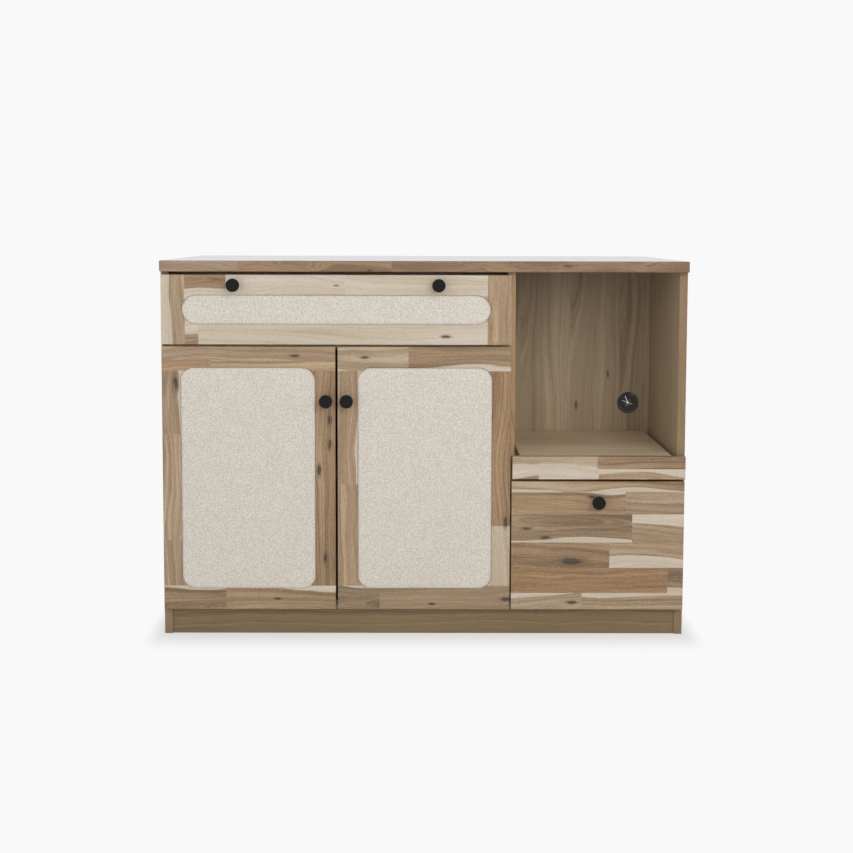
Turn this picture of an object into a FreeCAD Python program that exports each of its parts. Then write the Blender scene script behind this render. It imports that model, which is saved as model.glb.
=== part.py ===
import FreeCAD, Part
import os
import re
import Sketcher

from FreeCAD import Placement, Rotation, Vector

# Kitchen counter cabinet: a free-standing three-bay unit under one solid wood worktop.
# The left two bays hold a wide drawer over a pair of doors with fabric windows.
# The right bay is an open niche with a pull-out shelf as its floor, over a deep drawer.
# X runs to the right, Y from the front to the back and Z up. The origin is on the floor,
# under the middle of the whole object, so half of its depth lies on each side.

doc = FreeCAD.newDocument("kitchen_counter_cabinet")
sizes = doc.addObject("Spreadsheet::Sheet", "Sizes")
places = doc.addObject("Spreadsheet::Sheet", "Places")

# Driving sizes in millimetres: name, value, what it is
SIZES = [
    # Worktop and carcass
    ("top_width", "1200", "worktop and carcass width"),
    ("top_depth", "600", "worktop depth, with its overhang at the back"),
    ("top_thick", "25", "worktop thickness"),
    ("top_easing", "1.5", "easing of the worktop's edges"),
    ("carcass_depth", "400", "side panel depth"),
    ("board", "18", "carcass board thickness"),
    ("back_board", "9", "back panel thickness"),
    ("back_inset", "11", "from a side panel's rear edge to the back panel"),
    ("groove_depth", "5", "depth of the grooves that hold the back panels"),
    ("fit_gap", "0.2", "clearance of a board in its groove, on each face"),
    ("plinth_height", "60", "plinth board height"),
    ("plinth_recess", "4", "plinth board behind the side panels' front edges"),
    ("niche_width", "374", "clear width of the right bay"),
    ("rail_depth", "80", "depth of the two top rails"),
    ("top_rail_setback", "50", "front top rail behind the carcass front edge"),
    ("drawer_rail_depth", "60", "depth of the rail under the wide drawer"),
    # Fronts
    ("front_thick", "18", "thickness of every front"),
    ("front_gap", "2", "between a front's back and the carcass"),
    ("edge_reveal", "3", "carcass shown beside the outermost fronts"),
    ("bay_gap", "3.5", "between the fronts of the left and the right bays"),
    ("row_gap", "5", "between fronts one above the other"),
    ("door_gap", "5", "between the two doors"),
    ("front_lift", "3", "lowest fronts above the plinth"),
    ("door_height", "607", "door height"),
    ("wide_height", "158", "wide drawer front height"),
    ("top_gap", "7", "between the wide drawer front and the worktop"),
    ("low_height", "298.5", "lower drawer front height"),
    ("fascia_height", "52.5", "pull-out shelf fascia height"),
    ("fascia_shift", "1.5", "fascia to the right of the drawer front under it"),
    ("front_easing", "0.8", "easing of the fronts' outer edges"),
    # Windows in the framed fronts
    ("frame_thick", "12", "wood frame, in front of its backing board"),
    ("bite_share", "0.235", "window corner cut into the boards that run through, as a share"),
    ("cup_land", "2", "wood between a hinge cup and the door's window"),
    ("knob_stile", "46", "door stile on the knob side"),
    ("door_rail", "48", "door rail at the window's top and bottom"),
    ("window_round", "30", "corner radius of a door window"),
    ("wide_margin", "46", "wide drawer frame round its window"),
    ("window_easing", "1.8", "easing of the front edge of a window"),
    ("pad_thick", "5", "fabric pad in a window"),
    ("pad_gap", "0.5", "pad clear of its window all round"),
    # Knobs
    ("knob_round", "15", "knob head radius"),
    ("knob_neck", "8", "knob neck radius"),
    ("knob_reach", "24", "knob standing out from its front"),
    ("knob_head", "9", "thickness of the knob's head"),
    ("knob_soft", "1.5", "size of the knob's eased rim"),
    ("wide_knob_span", "464", "between the two knobs of the wide drawer"),
    ("door_knob_in", "21", "door knob from the edge of its door"),
    ("door_knob_drop", "123", "door knob under the top of its door"),
    ("low_knob_drop", "46", "lower drawer knob under its top edge"),
    # Drawer boxes and slides
    ("box_board", "12", "drawer side thickness"),
    ("box_base", "5", "drawer bottom thickness"),
    ("box_base_lift", "8", "drawer bottom above the lower edge of the sides"),
    ("box_groove", "5", "drawer bottom into its groove"),
    ("box_clear", "17", "drawer sides in front of the back panel"),
    ("wide_box_lift", "15", "wide drawer box above the lower edge of its front"),
    ("wide_box_drop", "43", "wide drawer sides' upper edge below the top of its front"),
    ("low_box_lift", "25", "lower drawer box above the lower edge of its front"),
    ("low_box_drop", "63.5", "lower drawer sides' upper edge below the top of its front"),
    ("slide_clear", "28", "slides in front of the back panel"),
    ("slide_width", "12.7", "slide, from the carcass to the drawer side"),
    ("slide_height", "45", "height of the carcass member"),
    ("slide_sheet", "1.2", "steel of the slides"),
    ("slide_play", "0.4", "running gap between two slide members"),
    ("slide_short", "1", "fixed member's lips short of the middle member's"),
    ("slide_setback", "2", "slide behind the carcass front edge"),
    ("low_slide_lift", "60", "lower drawer slide's middle above its box's lower edge"),
    # Pull-out shelf
    ("shelf_clear", "5", "pull-out board in front of the back panel"),
    ("cleat_clear", "0.5", "cleats above the lower edge of the fascia"),
    ("pull_slide_drop", "11", "slides below the pull-out board's top"),
    # Loose shelf in the cupboard
    ("loose_clear", "1", "loose shelf clear of each side"),
    ("loose_setback", "25", "loose shelf behind the carcass front edge"),
    ("loose_lift", "282", "underside of the loose shelf above the bottom panel"),
    ("pin_round", "2.5", "shelf pin radius"),
    ("pin_play", "0.05", "shelf pin in its hole, on the radius"),
    ("pin_in", "9", "shelf pin in its panel"),
    ("pin_out", "8", "shelf pin standing out of its panel"),
    ("pin_inset", "60", "pin holes from the shelf's front and back edges"),
    # Cam fittings
    ("cam_round", "7.5", "cam radius"),
    ("cam_thick", "12.5", "cam height"),
    ("cam_in", "34", "cam axis from the end of its board"),
    ("cam_edge", "40", "cam axis from the front or back edge of its board"),
    ("bolt_round", "3.5", "cam bolt radius"),
    ("bolt_thread", "11", "cam bolt screwed into the upright board"),
    ("fitting_gap", "0.15", "fittings clear of their holes"),
    # Cable outlet
    ("outlet_in", "53.5", "outlet centre from the right side panel"),
    ("outlet_lift", "73", "outlet centre above the niche floor"),
    ("outlet_lap", "2.5", "flange beyond its hole, on the radius"),
    ("outlet_hole", "25", "radius of the hole in the back panel"),
    ("outlet_lip", "1.5", "flange thickness"),
    ("outlet_wall", "1.8", "wall of the outlet's sleeve"),
    ("outlet_tail", "2", "sleeve behind the back panel"),
    ("flap_thick", "1.2", "rubber flap thickness"),
    ("flap_hole", "3.5", "radius of the hole where the flaps meet"),
    ("flap_slit", "0.7", "width of a slit between flaps"),
    ("flap_rim", "3.9", "rubber left whole between the slits and the sleeve"),
    # Concealed hinges
    ("cup_round", "17.5", "hinge cup radius"),
    ("cup_deep", "11.5", "hinge cup depth"),
    ("cup_wall", "1.2", "hinge cup wall"),
    ("cup_in", "22.5", "cup centre from the hinge edge of the door"),
    ("cup_gap", "0.1", "cup in its bore, on the radius and the depth"),
    ("wing_width", "14", "cup flange across"),
    ("wing_height", "52", "cup flange along the door's height"),
    ("wing_thick", "1.2", "cup flange thickness"),
    ("hinge_in", "100", "hinges from the top and the bottom of a door"),
    ("plate_thick", "3", "hinge mounting plate"),
    ("plate_length", "50", "mounting plate along the depth"),
    ("plate_width", "14", "mounting plate's spine"),
    ("plate_wing", "48", "mounting plate's wings"),
    ("plate_wing_deep", "16", "wings along the depth"),
    ("plate_setback", "20", "mounting plate behind the carcass front edge"),
    ("arm_far", "28", "arm's outer face from the hinge edge of the door"),
    ("arm_width", "16", "arm across"),
    ("arm_length", "68", "arm along the depth"),
    ("arm_setback", "3", "arm behind the carcass front edge"),
    ("arm_sheet", "1.5", "steel of the arm"),
    ("arm_chamfer", "3", "slope from the arm down to its nose"),
    ("nose_near", "22", "arm's nose from the hinge edge of the door"),
    ("nose_gap", "0.3", "arm's nose clear of the floor of its cup"),
    ("knuckle_round", "3", "radius of the nose's knuckle"),
    ("pin_steel", "1.5", "radius of the hinge pins"),
    ("link_pin_in", "12", "cup's pin from the hinge edge of the door"),
    ("link_pin_lift", "3.3", "cup's pin above the floor of the cup"),
    ("link_thick", "3.6", "link folded in the cup"),
    ("link_width", "11", "link across"),
    ("link_length", "8", "link from its pin"),
    # Cuts
    ("overrun", "1", "cuts run this far past the faces they open"),
]

# Places that follow from the driving sizes
PLACES = [
    ("half", "top_width / 2"),
    ("face_y", "(knob_reach - top_depth) / 2"),
    ("front_back_y", "face_y + front_thick"),
    ("carcass_y", "front_back_y + front_gap"),
    ("carcass_end_y", "carcass_y + carcass_depth"),
    ("back_y", "carcass_end_y - back_inset - back_board"),
    ("inner", "half - board"),
    ("divider_right", "inner - niche_width"),
    ("divider_left", "divider_right - board"),
    ("divider_mid", "divider_right - board / 2"),
    ("floor_z", "plinth_height + board"),
    ("left_edge", "edge_reveal - half"),
    ("left_end", "divider_mid - bay_gap / 2"),
    ("right_start", "divider_mid + bay_gap / 2"),
    ("right_end", "half - edge_reveal"),
    ("door_width", "(left_end - left_edge - door_gap) / 2"),
    ("left_door_end", "left_edge + door_width"),
    ("right_door_start", "left_end - door_width"),
    ("front_z", "plinth_height + front_lift"),
    ("door_top", "front_z + door_height"),
    ("hinge_stile", "cup_in + cup_round + cup_land"),
    ("door_rail_board", "door_rail + bite_share * window_round"),
    ("wide_end_round", "wide_height / 2 - wide_margin"),
    ("wide_stile_board", "wide_margin + bite_share * wide_end_round"),
    ("wide_z", "door_top + row_gap"),
    ("wide_top", "wide_z + wide_height"),
    ("side_height", "wide_top + top_gap"),
    ("low_top", "front_z + low_height"),
    ("fascia_z", "low_top + row_gap"),
    ("niche_z", "fascia_z + fascia_height"),
    ("backing_thick", "front_thick - frame_thick"),
    ("backing_y", "face_y + frame_thick"),
    ("slide_y", "carcass_y + slide_setback"),
    ("slide_length", "back_y - slide_y - slide_clear"),
    ("box_end_y", "back_y - box_clear"),
    ("box_depth", "box_end_y - front_back_y"),
    ("wide_box_z", "wide_z + wide_box_lift"),
    ("wide_box_height", "wide_height - wide_box_lift - wide_box_drop"),
    ("wide_slide_z", "wide_box_z + wide_box_height / 2"),
    ("low_box_z", "front_z + low_box_lift"),
    ("low_box_height", "low_height - low_box_lift - low_box_drop"),
    ("low_slide_z", "low_box_z + low_slide_lift"),
    ("pull_board_z", "niche_z - board"),
    ("cleat_height", "fascia_height - board - cleat_clear"),
    ("pull_cleat_z", "pull_board_z - cleat_height"),
    ("pull_slide_z", "niche_z - pull_slide_drop - slide_height / 2"),
    ("drawer_rail_z", "door_top + (row_gap - board) / 2"),
    ("top_rail_z", "side_height - board"),
    ("loose_height", "floor_z + loose_lift"),
    ("outlet_x", "inner - outlet_in"),
    ("outlet_z", "niche_z + outlet_lift"),
    ("outlet_flange", "outlet_hole + outlet_lap"),
    ("sleeve_round", "outlet_hole - fitting_gap"),
    ("sleeve_inner", "sleeve_round - outlet_wall"),
    ("flap_reach", "sleeve_inner - flap_rim"),
    ("cup_floor_y", "front_back_y - cup_deep"),
    ("nose_y", "cup_floor_y + cup_wall + nose_gap"),
    ("arm_y", "carcass_y + arm_setback"),
    ("low_hinge_z", "front_z + hinge_in"),
    ("high_hinge_z", "door_top - hinge_in"),
]

ALIASES = {}


def fill(sheet, rows):
    """Write one sheet's rows and remember which sheet each name is in."""
    for row, (name, value) in enumerate(rows, start=1):
        cell = "B%d" % row
        sheet.set("A%d" % row, name)
        sheet.set(cell, value)
        sheet.setAlias(cell, name)
        ALIASES[name] = "%s.%s" % (sheet.Name, name)


def formula(text):
    """Name the sheet of every size in a formula."""
    return re.sub(r"[a-z][a-z_0-9]*", lambda word: ALIASES.get(word.group(), word.group()), text)


fill(sizes, [(name, value) for name, value, note in SIZES])
for place_name, place_text in PLACES:
    row = len(ALIASES) - len(SIZES) + 1
    places.set("A%d" % row, place_name)
    places.set("B%d" % row, "=" + formula(place_text))
    places.setAlias("B%d" % row, place_name)
    ALIASES[place_name] = "Places." + place_name
doc.recompute()

NODES = {}


def node(obj):
    """Keep a finished piece under its label."""
    NODES[obj.Label] = obj
    return obj


def bind(obj, prop, text):
    obj.setExpression(prop, formula(text))


def put(obj, x, y, z):
    for axis, text in (("x", x), ("y", y), ("z", z)):
        bind(obj, "Placement.Base." + axis, text)
    return obj


def box(label, x, y, z, length, width, height):
    """A board, from its low corner and its sizes along X, Y and Z."""
    obj = doc.addObject("Part::Box", label)
    bind(obj, "Length", length)
    bind(obj, "Width", width)
    bind(obj, "Height", height)
    return put(obj, x, y, z)


ALONG = {
    "x": Rotation(Vector(0, 1, 0), 90),
    "y": Rotation(Vector(1, 0, 0), -90),
    "z": Rotation(),
}


def rod(label, along, x, y, z, radius, length):
    """A round bar or hole that starts at a point and runs along one axis."""
    obj = doc.addObject("Part::Cylinder", label)
    bind(obj, "Radius", radius)
    bind(obj, "Height", length)
    obj.Placement = Placement(Vector(), ALONG[along])
    return put(obj, x, y, z)


def fuse(label, shapes):
    obj = doc.addObject("Part::MultiFuse", label)
    obj.Shapes = shapes
    obj.Refine = True
    return obj


def cut(label, base, tools):
    obj = doc.addObject("Part::Cut", label)
    obj.Base = base
    obj.Tool = tools[0] if len(tools) == 1 else fuse(label + "_cuts", tools)
    obj.Refine = True
    return obj


def split(label, base, zone):
    """The boards of a frame: those outside a zone, and those inside it."""
    outside = cut(label + "_outside", base, [zone])
    inside = doc.addObject("Part::Common", label + "_inside")
    inside.Base = base
    inside.Tool = zone
    return group(label, [outside, inside])


def group(label, shapes):
    """Like pieces that share one node, each still a solid of its own."""
    obj = doc.addObject("Part::Compound", label)
    obj.Links = shapes
    return obj


def value_of(text):
    """The present value of a formula."""
    return float(places.evalExpression(formula(text)))


def origin_plane(body, role):
    return next(part for part in body.Origin.OriginFeatures if part.Role == role)


def sketch_outline(body, name, role, corners):
    """A closed outline on one of the body's planes, each corner held by two formulas."""
    sketch = body.newObject("Sketcher::SketchObject", name)
    sketch.AttachmentSupport = [(origin_plane(body, role), "")]
    sketch.MapMode = "FlatFace"
    spots = [Vector(value_of(across), value_of(up), 0) for across, up in corners]
    count = len(spots)
    for i in range(count):
        sketch.addGeometry(Part.LineSegment(spots[i], spots[(i + 1) % count]))
    for i in range(count):
        sketch.addConstraint(Sketcher.Constraint("Coincident", i, 2, (i + 1) % count, 1))
    for i, (across, up) in enumerate(corners):
        for kind, text, value in (("DistanceX", across, spots[i].x), ("DistanceY", up, spots[i].y)):
            index = sketch.addConstraint(Sketcher.Constraint(kind, -1, 1, i, 1, value))
            if text != "0":
                sketch.setExpression("Constraints[%d]" % index, formula(text))
    return sketch


def round_edges(body, base, name, edges, radius):
    fillet = body.newObject("PartDesign::Fillet", name)
    fillet.Base = (base, edges)
    bind(fillet, "Radius", radius)
    body.Tip = fillet
    return fillet


def padded(label, corners, depth):
    """A body with an outline drawn in the XZ plane and carried back along Y."""
    body = doc.addObject("PartDesign::Body", label)
    outline = sketch_outline(body, label + "_outline", "XZ_Plane", corners)
    pad = body.newObject("PartDesign::Pad", label + "_pad")
    pad.Profile = outline
    pad.Reversed = True
    bind(pad, "Length", depth)
    outline.Visibility = False
    body.Tip = pad
    return body, pad


def level_edges(shape, y):
    """The edges that lie all along at one depth."""
    return [
        "Edge%d" % (index + 1)
        for index, edge in enumerate(shape.Edges)
        if abs(edge.BoundBox.YMin - y) + abs(edge.BoundBox.YMax - y) < Part.Precision.approximation()
    ]


def ease_edges(body, base, name, edges, size):
    chamfer = body.newObject("PartDesign::Chamfer", name)
    chamfer.Base = (base, edges)
    bind(chamfer, "Size", size)
    body.Tip = chamfer
    return chamfer


def rounded_plate(label, x, z, width, height, radius, y, depth, easing=None):
    """A plate with rounded corners, that cuts a window or fills it, or eases a window's edge."""
    corners = [("0", "0"), (width, "0"), (width, height), ("0", height)]
    body, pad = padded(label, corners, depth)
    doc.recompute()
    edges = []
    for index, edge in enumerate(pad.Shape.Edges):
        if abs(edge.tangentAt(edge.FirstParameter).y) > 1 / 2:
            edges.append("Edge%d" % (index + 1))
    rounded = round_edges(body, pad, label + "_corners", edges, radius)
    if easing:
        doc.recompute()
        back = level_edges(rounded.Shape, value_of(depth))
        ease_edges(body, rounded, label + "_slope", back, easing)
    return put(body, x, y, z)


def eased_front(label, x, z, width, height, depth):
    """A front board with the edges of its face eased."""
    corners = [("0", "0"), (width, "0"), (width, height), ("0", height)]
    body, pad = padded(label, corners, depth)
    doc.recompute()
    ease_edges(body, pad, label + "_easing", level_edges(pad.Shape, 0), "front_easing")
    return put(body, x, "face_y", z)


def turned(label, corners):
    """A body turned about its own Z axis from an outline of radius and height."""
    body = doc.addObject("PartDesign::Body", label)
    outline = sketch_outline(body, label + "_outline", "XZ_Plane", corners)
    turn = body.newObject("PartDesign::Revolution", label + "_turn")
    turn.Profile = outline
    turn.ReferenceAxis = (outline, ["V_Axis"])
    turn.Angle = 360
    outline.Visibility = False
    body.Tip = turn
    return body, turn


# Worktop: one finger-jointed acacia board with all its edges eased
worktop = doc.addObject("PartDesign::Body", "worktop")
top_outline = sketch_outline(
    worktop,
    "worktop_outline",
    "XY_Plane",
    [("0", "0"), ("top_width", "0"), ("top_width", "top_depth"), ("0", "top_depth")],
)
top_pad = worktop.newObject("PartDesign::Pad", "worktop_board")
top_pad.Profile = top_outline
bind(top_pad, "Length", "top_thick")
worktop.Tip = top_pad
put(worktop, "-half", "face_y", "side_height")
doc.recompute()
easing = worktop.newObject("PartDesign::Chamfer", "worktop_easing")
easing.Base = (top_pad, ["Edge%d" % (i + 1) for i in range(len(top_pad.Shape.Edges))])
bind(easing, "Size", "top_easing")
worktop.Tip = easing
node(worktop)

# Cam fittings join every level board to the upright boards at its ends
CAMS = []
BOLTS = []


def cam_joint(name, board_end, inward, y, z, face_up):
    """One cam in a level board, its bolt, and the holes for both: board tools, upright tools."""
    radius_gap = "cam_round + fitting_gap"
    cam_x = "%s %s cam_in" % (board_end, "+" if inward > 0 else "-")
    low = z if face_up < 0 else "%s + board - cam_thick" % z
    cam = rod(name + "_cam", "z", cam_x, y, low, "cam_round", "cam_thick")
    hole_low = "%s - overrun" % z if face_up < 0 else "%s - fitting_gap" % low
    hole = rod(name + "_cam_hole", "z", cam_x, y, hole_low, radius_gap, "cam_thick + overrun + fitting_gap")
    mid = "%s + board / 2" % z
    reach = "cam_in - cam_round - fitting_gap"
    start = "%s - bolt_thread" % board_end if inward > 0 else "%s - (%s)" % (board_end, reach)
    bolt = rod(name + "_bolt", "x", start, y, mid, "bolt_round", "bolt_thread + " + reach)
    channel_x = board_end if inward > 0 else "%s - cam_in" % board_end
    channel = rod(name + "_channel", "x", channel_x, y, mid, "bolt_round + fitting_gap", "cam_in")
    socket_x = "%s - bolt_thread - fitting_gap" % board_end if inward > 0 else board_end
    socket = rod(
        name + "_socket", "x", socket_x, y, mid, "bolt_round + fitting_gap", "bolt_thread + fitting_gap"
    )
    CAMS.append(cam)
    BOLTS.append(bolt)
    return [hole, channel], [socket]


def cam_pair(name, left_end, right_end, y, z, face_up):
    """Cams at both ends of a board: its own tools, then those of the left and right uprights."""
    left_board, left_upright = cam_joint(name + "_left", left_end, 1, y, z, face_up)
    right_board, right_upright = cam_joint(name + "_right", right_end, -1, y, z, face_up)
    return left_board + right_board, left_upright, right_upright


# Bottom panel: runs between the side panels and carries the divider
front_cams = cam_pair("bottom_front", "-inner", "inner", "carcass_y + cam_edge", "plinth_height", -1)
back_cams = cam_pair("bottom_back", "-inner", "inner", "back_y - cam_edge", "plinth_height", -1)
bottom_board = box(
    "bottom_board", "-inner", "carcass_y", "plinth_height", "2 * inner", "back_y - carcass_y", "board"
)
node(cut("bottom_panel", bottom_board, front_cams[0] + back_cams[0]))

# Rails of the left bays: two under the worktop and one under the wide drawer
top_front_cams = cam_pair(
    "top_front", "-inner", "divider_left", "carcass_y + top_rail_setback + cam_edge", "top_rail_z", -1
)
top_back_cams = cam_pair("top_back", "-inner", "divider_left", "back_y - cam_edge", "top_rail_z", -1)
rail_cams = cam_pair(
    "drawer_rail", "-inner", "divider_left", "carcass_y + drawer_rail_depth / 2", "drawer_rail_z", -1
)
LEFT_BAY = "divider_left + inner"
top_front = box(
    "top_front_board",
    "-inner",
    "carcass_y + top_rail_setback",
    "top_rail_z",
    LEFT_BAY,
    "rail_depth",
    "board",
)
node(cut("top_rail_front", top_front, top_front_cams[0]))
top_back = box(
    "top_back_board", "-inner", "back_y - rail_depth", "top_rail_z", LEFT_BAY, "rail_depth", "board"
)
node(cut("top_rail_back", top_back, top_back_cams[0]))
drawer_rail = box(
    "drawer_rail_board", "-inner", "carcass_y", "drawer_rail_z", LEFT_BAY, "drawer_rail_depth", "board"
)
node(cut("drawer_rail", drawer_rail, rail_cams[0]))

# Plinth boards stand between the side panels, under the bottom panel
node(box("plinth_front", "-inner", "carcass_y + plinth_recess", "0", "2 * inner", "board", "plinth_height"))
node(box("plinth_back", "-inner", "back_y - board", "0", "2 * inner", "board", "plinth_height"))

# Loose shelf on four pins, each in its own hole
PIN_ROWS = [
    ("front", "carcass_y + loose_setback + pin_inset"),
    ("back", "back_y - pin_inset"),
]


def pin_holes(name, face, direction):
    """The two pin holes of an upright board, drilled from the cupboard's side."""
    start = "%s - pin_in - pin_play" % face if direction > 0 else face
    holes = []
    for row_name, y in PIN_ROWS:
        label = "%s_%s_hole" % (name, row_name)
        z = "loose_height - pin_round"
        holes.append(rod(label, "x", start, y, z, "pin_round + pin_play", "pin_in + pin_play"))
    return holes


pins = []
for side_name, start in (("left", "-inner - pin_in"), ("right", "divider_left - pin_out")):
    for row_name, y in PIN_ROWS:
        label = "%s_%s_pin" % (side_name, row_name)
        pins.append(rod(label, "x", start, y, "loose_height - pin_round", "pin_round", "pin_in + pin_out"))
node(group("shelf_pins", pins))
node(
    box(
        "loose_shelf",
        "loose_clear - inner",
        "carcass_y + loose_setback",
        "loose_height",
        LEFT_BAY + " - 2 * loose_clear",
        "back_y - carcass_y - loose_setback - loose_clear",
        "board",
    )
)


def back_groove(name, x, z, height):
    """The groove that a back panel slides into, open towards its bay."""
    return box(
        name,
        x,
        "back_y - fit_gap",
        z,
        "groove_depth + fit_gap",
        "back_board + 2 * fit_gap",
        height,
    )


# Side panels: down to the floor, grooved for the back panels
left_board = box("left_side_board", "-half", "carcass_y", "0", "board", "carcass_depth", "side_height")
left_tools = [back_groove("left_side_groove", "-inner - groove_depth - fit_gap", "0", "side_height")]
left_tools += front_cams[1] + back_cams[1] + top_front_cams[1] + top_back_cams[1] + rail_cams[1]
left_tools += pin_holes("left_side", "-inner", 1)
node(cut("left_side_panel", left_board, left_tools))

right_board = box("right_side_board", "inner", "carcass_y", "0", "board", "carcass_depth", "side_height")
right_tools = [back_groove("right_side_groove", "inner", "0", "side_height")]
node(cut("right_side_panel", right_board, right_tools + front_cams[2] + back_cams[2]))

# Centre divider: stands on the bottom panel, between the cupboard and the niche
divider_board = box(
    "divider_board",
    "divider_left",
    "carcass_y",
    "floor_z",
    "board",
    "carcass_depth",
    "side_height - floor_z",
)
divider_tools = [
    back_groove("divider_left_groove", "divider_left", "floor_z", "side_height - floor_z"),
    back_groove(
        "divider_right_groove",
        "divider_right - groove_depth - fit_gap",
        "floor_z",
        "side_height - floor_z",
    ),
]
divider_tools += top_front_cams[2] + top_back_cams[2] + rail_cams[2]
divider_tools += pin_holes("divider", "divider_left", -1)
node(cut("centre_divider", divider_board, divider_tools))
node(group("cam_locks", CAMS))
node(group("cam_bolts", BOLTS))

# Back panels: one behind the left bays, and one behind the niche with the cable outlet
node(
    box(
        "back_panel_left",
        "-inner - groove_depth",
        "back_y",
        "plinth_height",
        LEFT_BAY + " + 2 * groove_depth",
        "back_board",
        "side_height - plinth_height",
    )
)
right_back = box(
    "back_right_board",
    "divider_right - groove_depth",
    "back_y",
    "plinth_height",
    "niche_width + 2 * groove_depth",
    "back_board",
    "side_height - plinth_height",
)
outlet_bore = rod(
    "outlet_bore", "y", "outlet_x", "back_y - overrun", "outlet_z", "outlet_hole", "back_board + 2 * overrun"
)
node(cut("back_panel_right", right_back, [outlet_bore]))

# Cable outlet: a flanged sleeve pushed through the back panel, with slit rubber flaps
SLEEVE_BACK = "outlet_lip + back_board + outlet_tail"
outlet_ring, outlet_turn = turned(
    "outlet_ring",
    [
        ("sleeve_inner", "0"),
        ("outlet_flange", "0"),
        ("outlet_flange", "outlet_lip"),
        ("sleeve_round", "outlet_lip"),
        ("sleeve_round", SLEEVE_BACK),
        ("sleeve_inner", SLEEVE_BACK),
    ],
)
outlet_ring.Placement = Placement(Vector(), ALONG["y"])
put(outlet_ring, "outlet_x", "back_y - outlet_lip", "outlet_z")
node(outlet_ring)

flap_disc = rod(
    "flap_disc",
    "y",
    "outlet_x",
    "back_y",
    "outlet_z",
    "sleeve_inner - fitting_gap",
    "flap_thick",
)
flap_centre = rod(
    "flap_centre", "y", "outlet_x", "back_y - overrun", "outlet_z", "flap_hole", "flap_thick + 2 * overrun"
)
slits = [flap_centre]
SLIT_LINES = 4
for line in range(SLIT_LINES):
    slit = box(
        "flap_slit_%d" % line,
        "-flap_reach",
        "-overrun",
        "-flap_slit / 2",
        "2 * flap_reach",
        "flap_thick + 2 * overrun",
        "flap_slit",
    )
    turned_slit = group("flap_slit_turned_%d" % line, [slit])
    turned_slit.Placement = Placement(Vector(), Rotation(Vector(0, 1, 0), 180 / SLIT_LINES * (line + 0.5)))
    slits.append(put(turned_slit, "outlet_x", "back_y", "outlet_z"))
node(cut("outlet_flaps", flap_disc, slits))


def stadium_cutter(name, x, z, width, height, y, depth):
    """A plate with half-round ends."""
    radius = "(%s) / 2" % height
    middle = "%s + %s" % (z, radius)
    return [
        box(name + "_middle", "%s + %s" % (x, radius), y, z, "%s - 2 * %s" % (width, radius), depth, height),
        rod(name + "_left", "y", "%s + %s" % (x, radius), y, middle, radius, depth),
        rod(name + "_right", "y", "%s + %s - %s" % (x, width, radius), y, middle, radius, depth),
    ]


def knob(label, x, z):
    """A round knob, turned from its neck to its flat head, standing out of a front."""
    body, turn = turned(
        label,
        [
            ("0", "0"),
            ("knob_neck", "0"),
            ("knob_neck", "knob_reach - knob_head"),
            ("knob_round", "knob_reach - knob_head"),
            ("knob_round", "knob_reach - knob_soft"),
            ("knob_round - knob_soft", "knob_reach"),
            ("0", "knob_reach"),
        ],
    )
    body.Placement = Placement(Vector(), Rotation(Vector(1, 0, 0), 90))
    put(body, x, "face_y", z)
    return node(body)


def slides(prefix, left_wall, right_wall, z):
    """A pair of slides of three nested channels: fixed, middle and moving."""
    nest = "(slide_sheet + slide_play)"
    members = (
        ("fixed", "0", "slide_width - slide_sheet - slide_play - slide_short", "slide_height / 2", 1),
        ("middle", nest, "slide_width - " + nest, "slide_height / 2 - " + nest, 1),
        ("moving", "2 * " + nest, "slide_width", "slide_height / 2 - 2 * " + nest, -1),
    )
    for member, near, far, half_height, opens in members:
        web, lip = (near, far) if opens > 0 else (far, near)
        web_inner = "%s %s slide_sheet" % (web, "+" if opens > 0 else "-")
        inner_half = "%s - slide_sheet" % half_height
        profile = [
            (web, "-(%s)" % half_height),
            (lip, "-(%s)" % half_height),
            (lip, "-(%s)" % inner_half),
            (web_inner, "-(%s)" % inner_half),
            (web_inner, inner_half),
            (lip, inner_half),
            (lip, half_height),
            (web, half_height),
        ]
        channels = []
        for side, wall, sign in (("left", left_wall, ""), ("right", right_wall, "-")):
            corners = [("%s(%s)" % (sign, across), up) for across, up in profile]
            name = "%s_%s_%s" % (prefix, side, member)
            channel, pad = padded(name, corners, "slide_length")
            channels.append(put(channel, wall, "slide_y", z))
        node(group("%s_slides_%s" % (prefix, member), channels))


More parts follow.
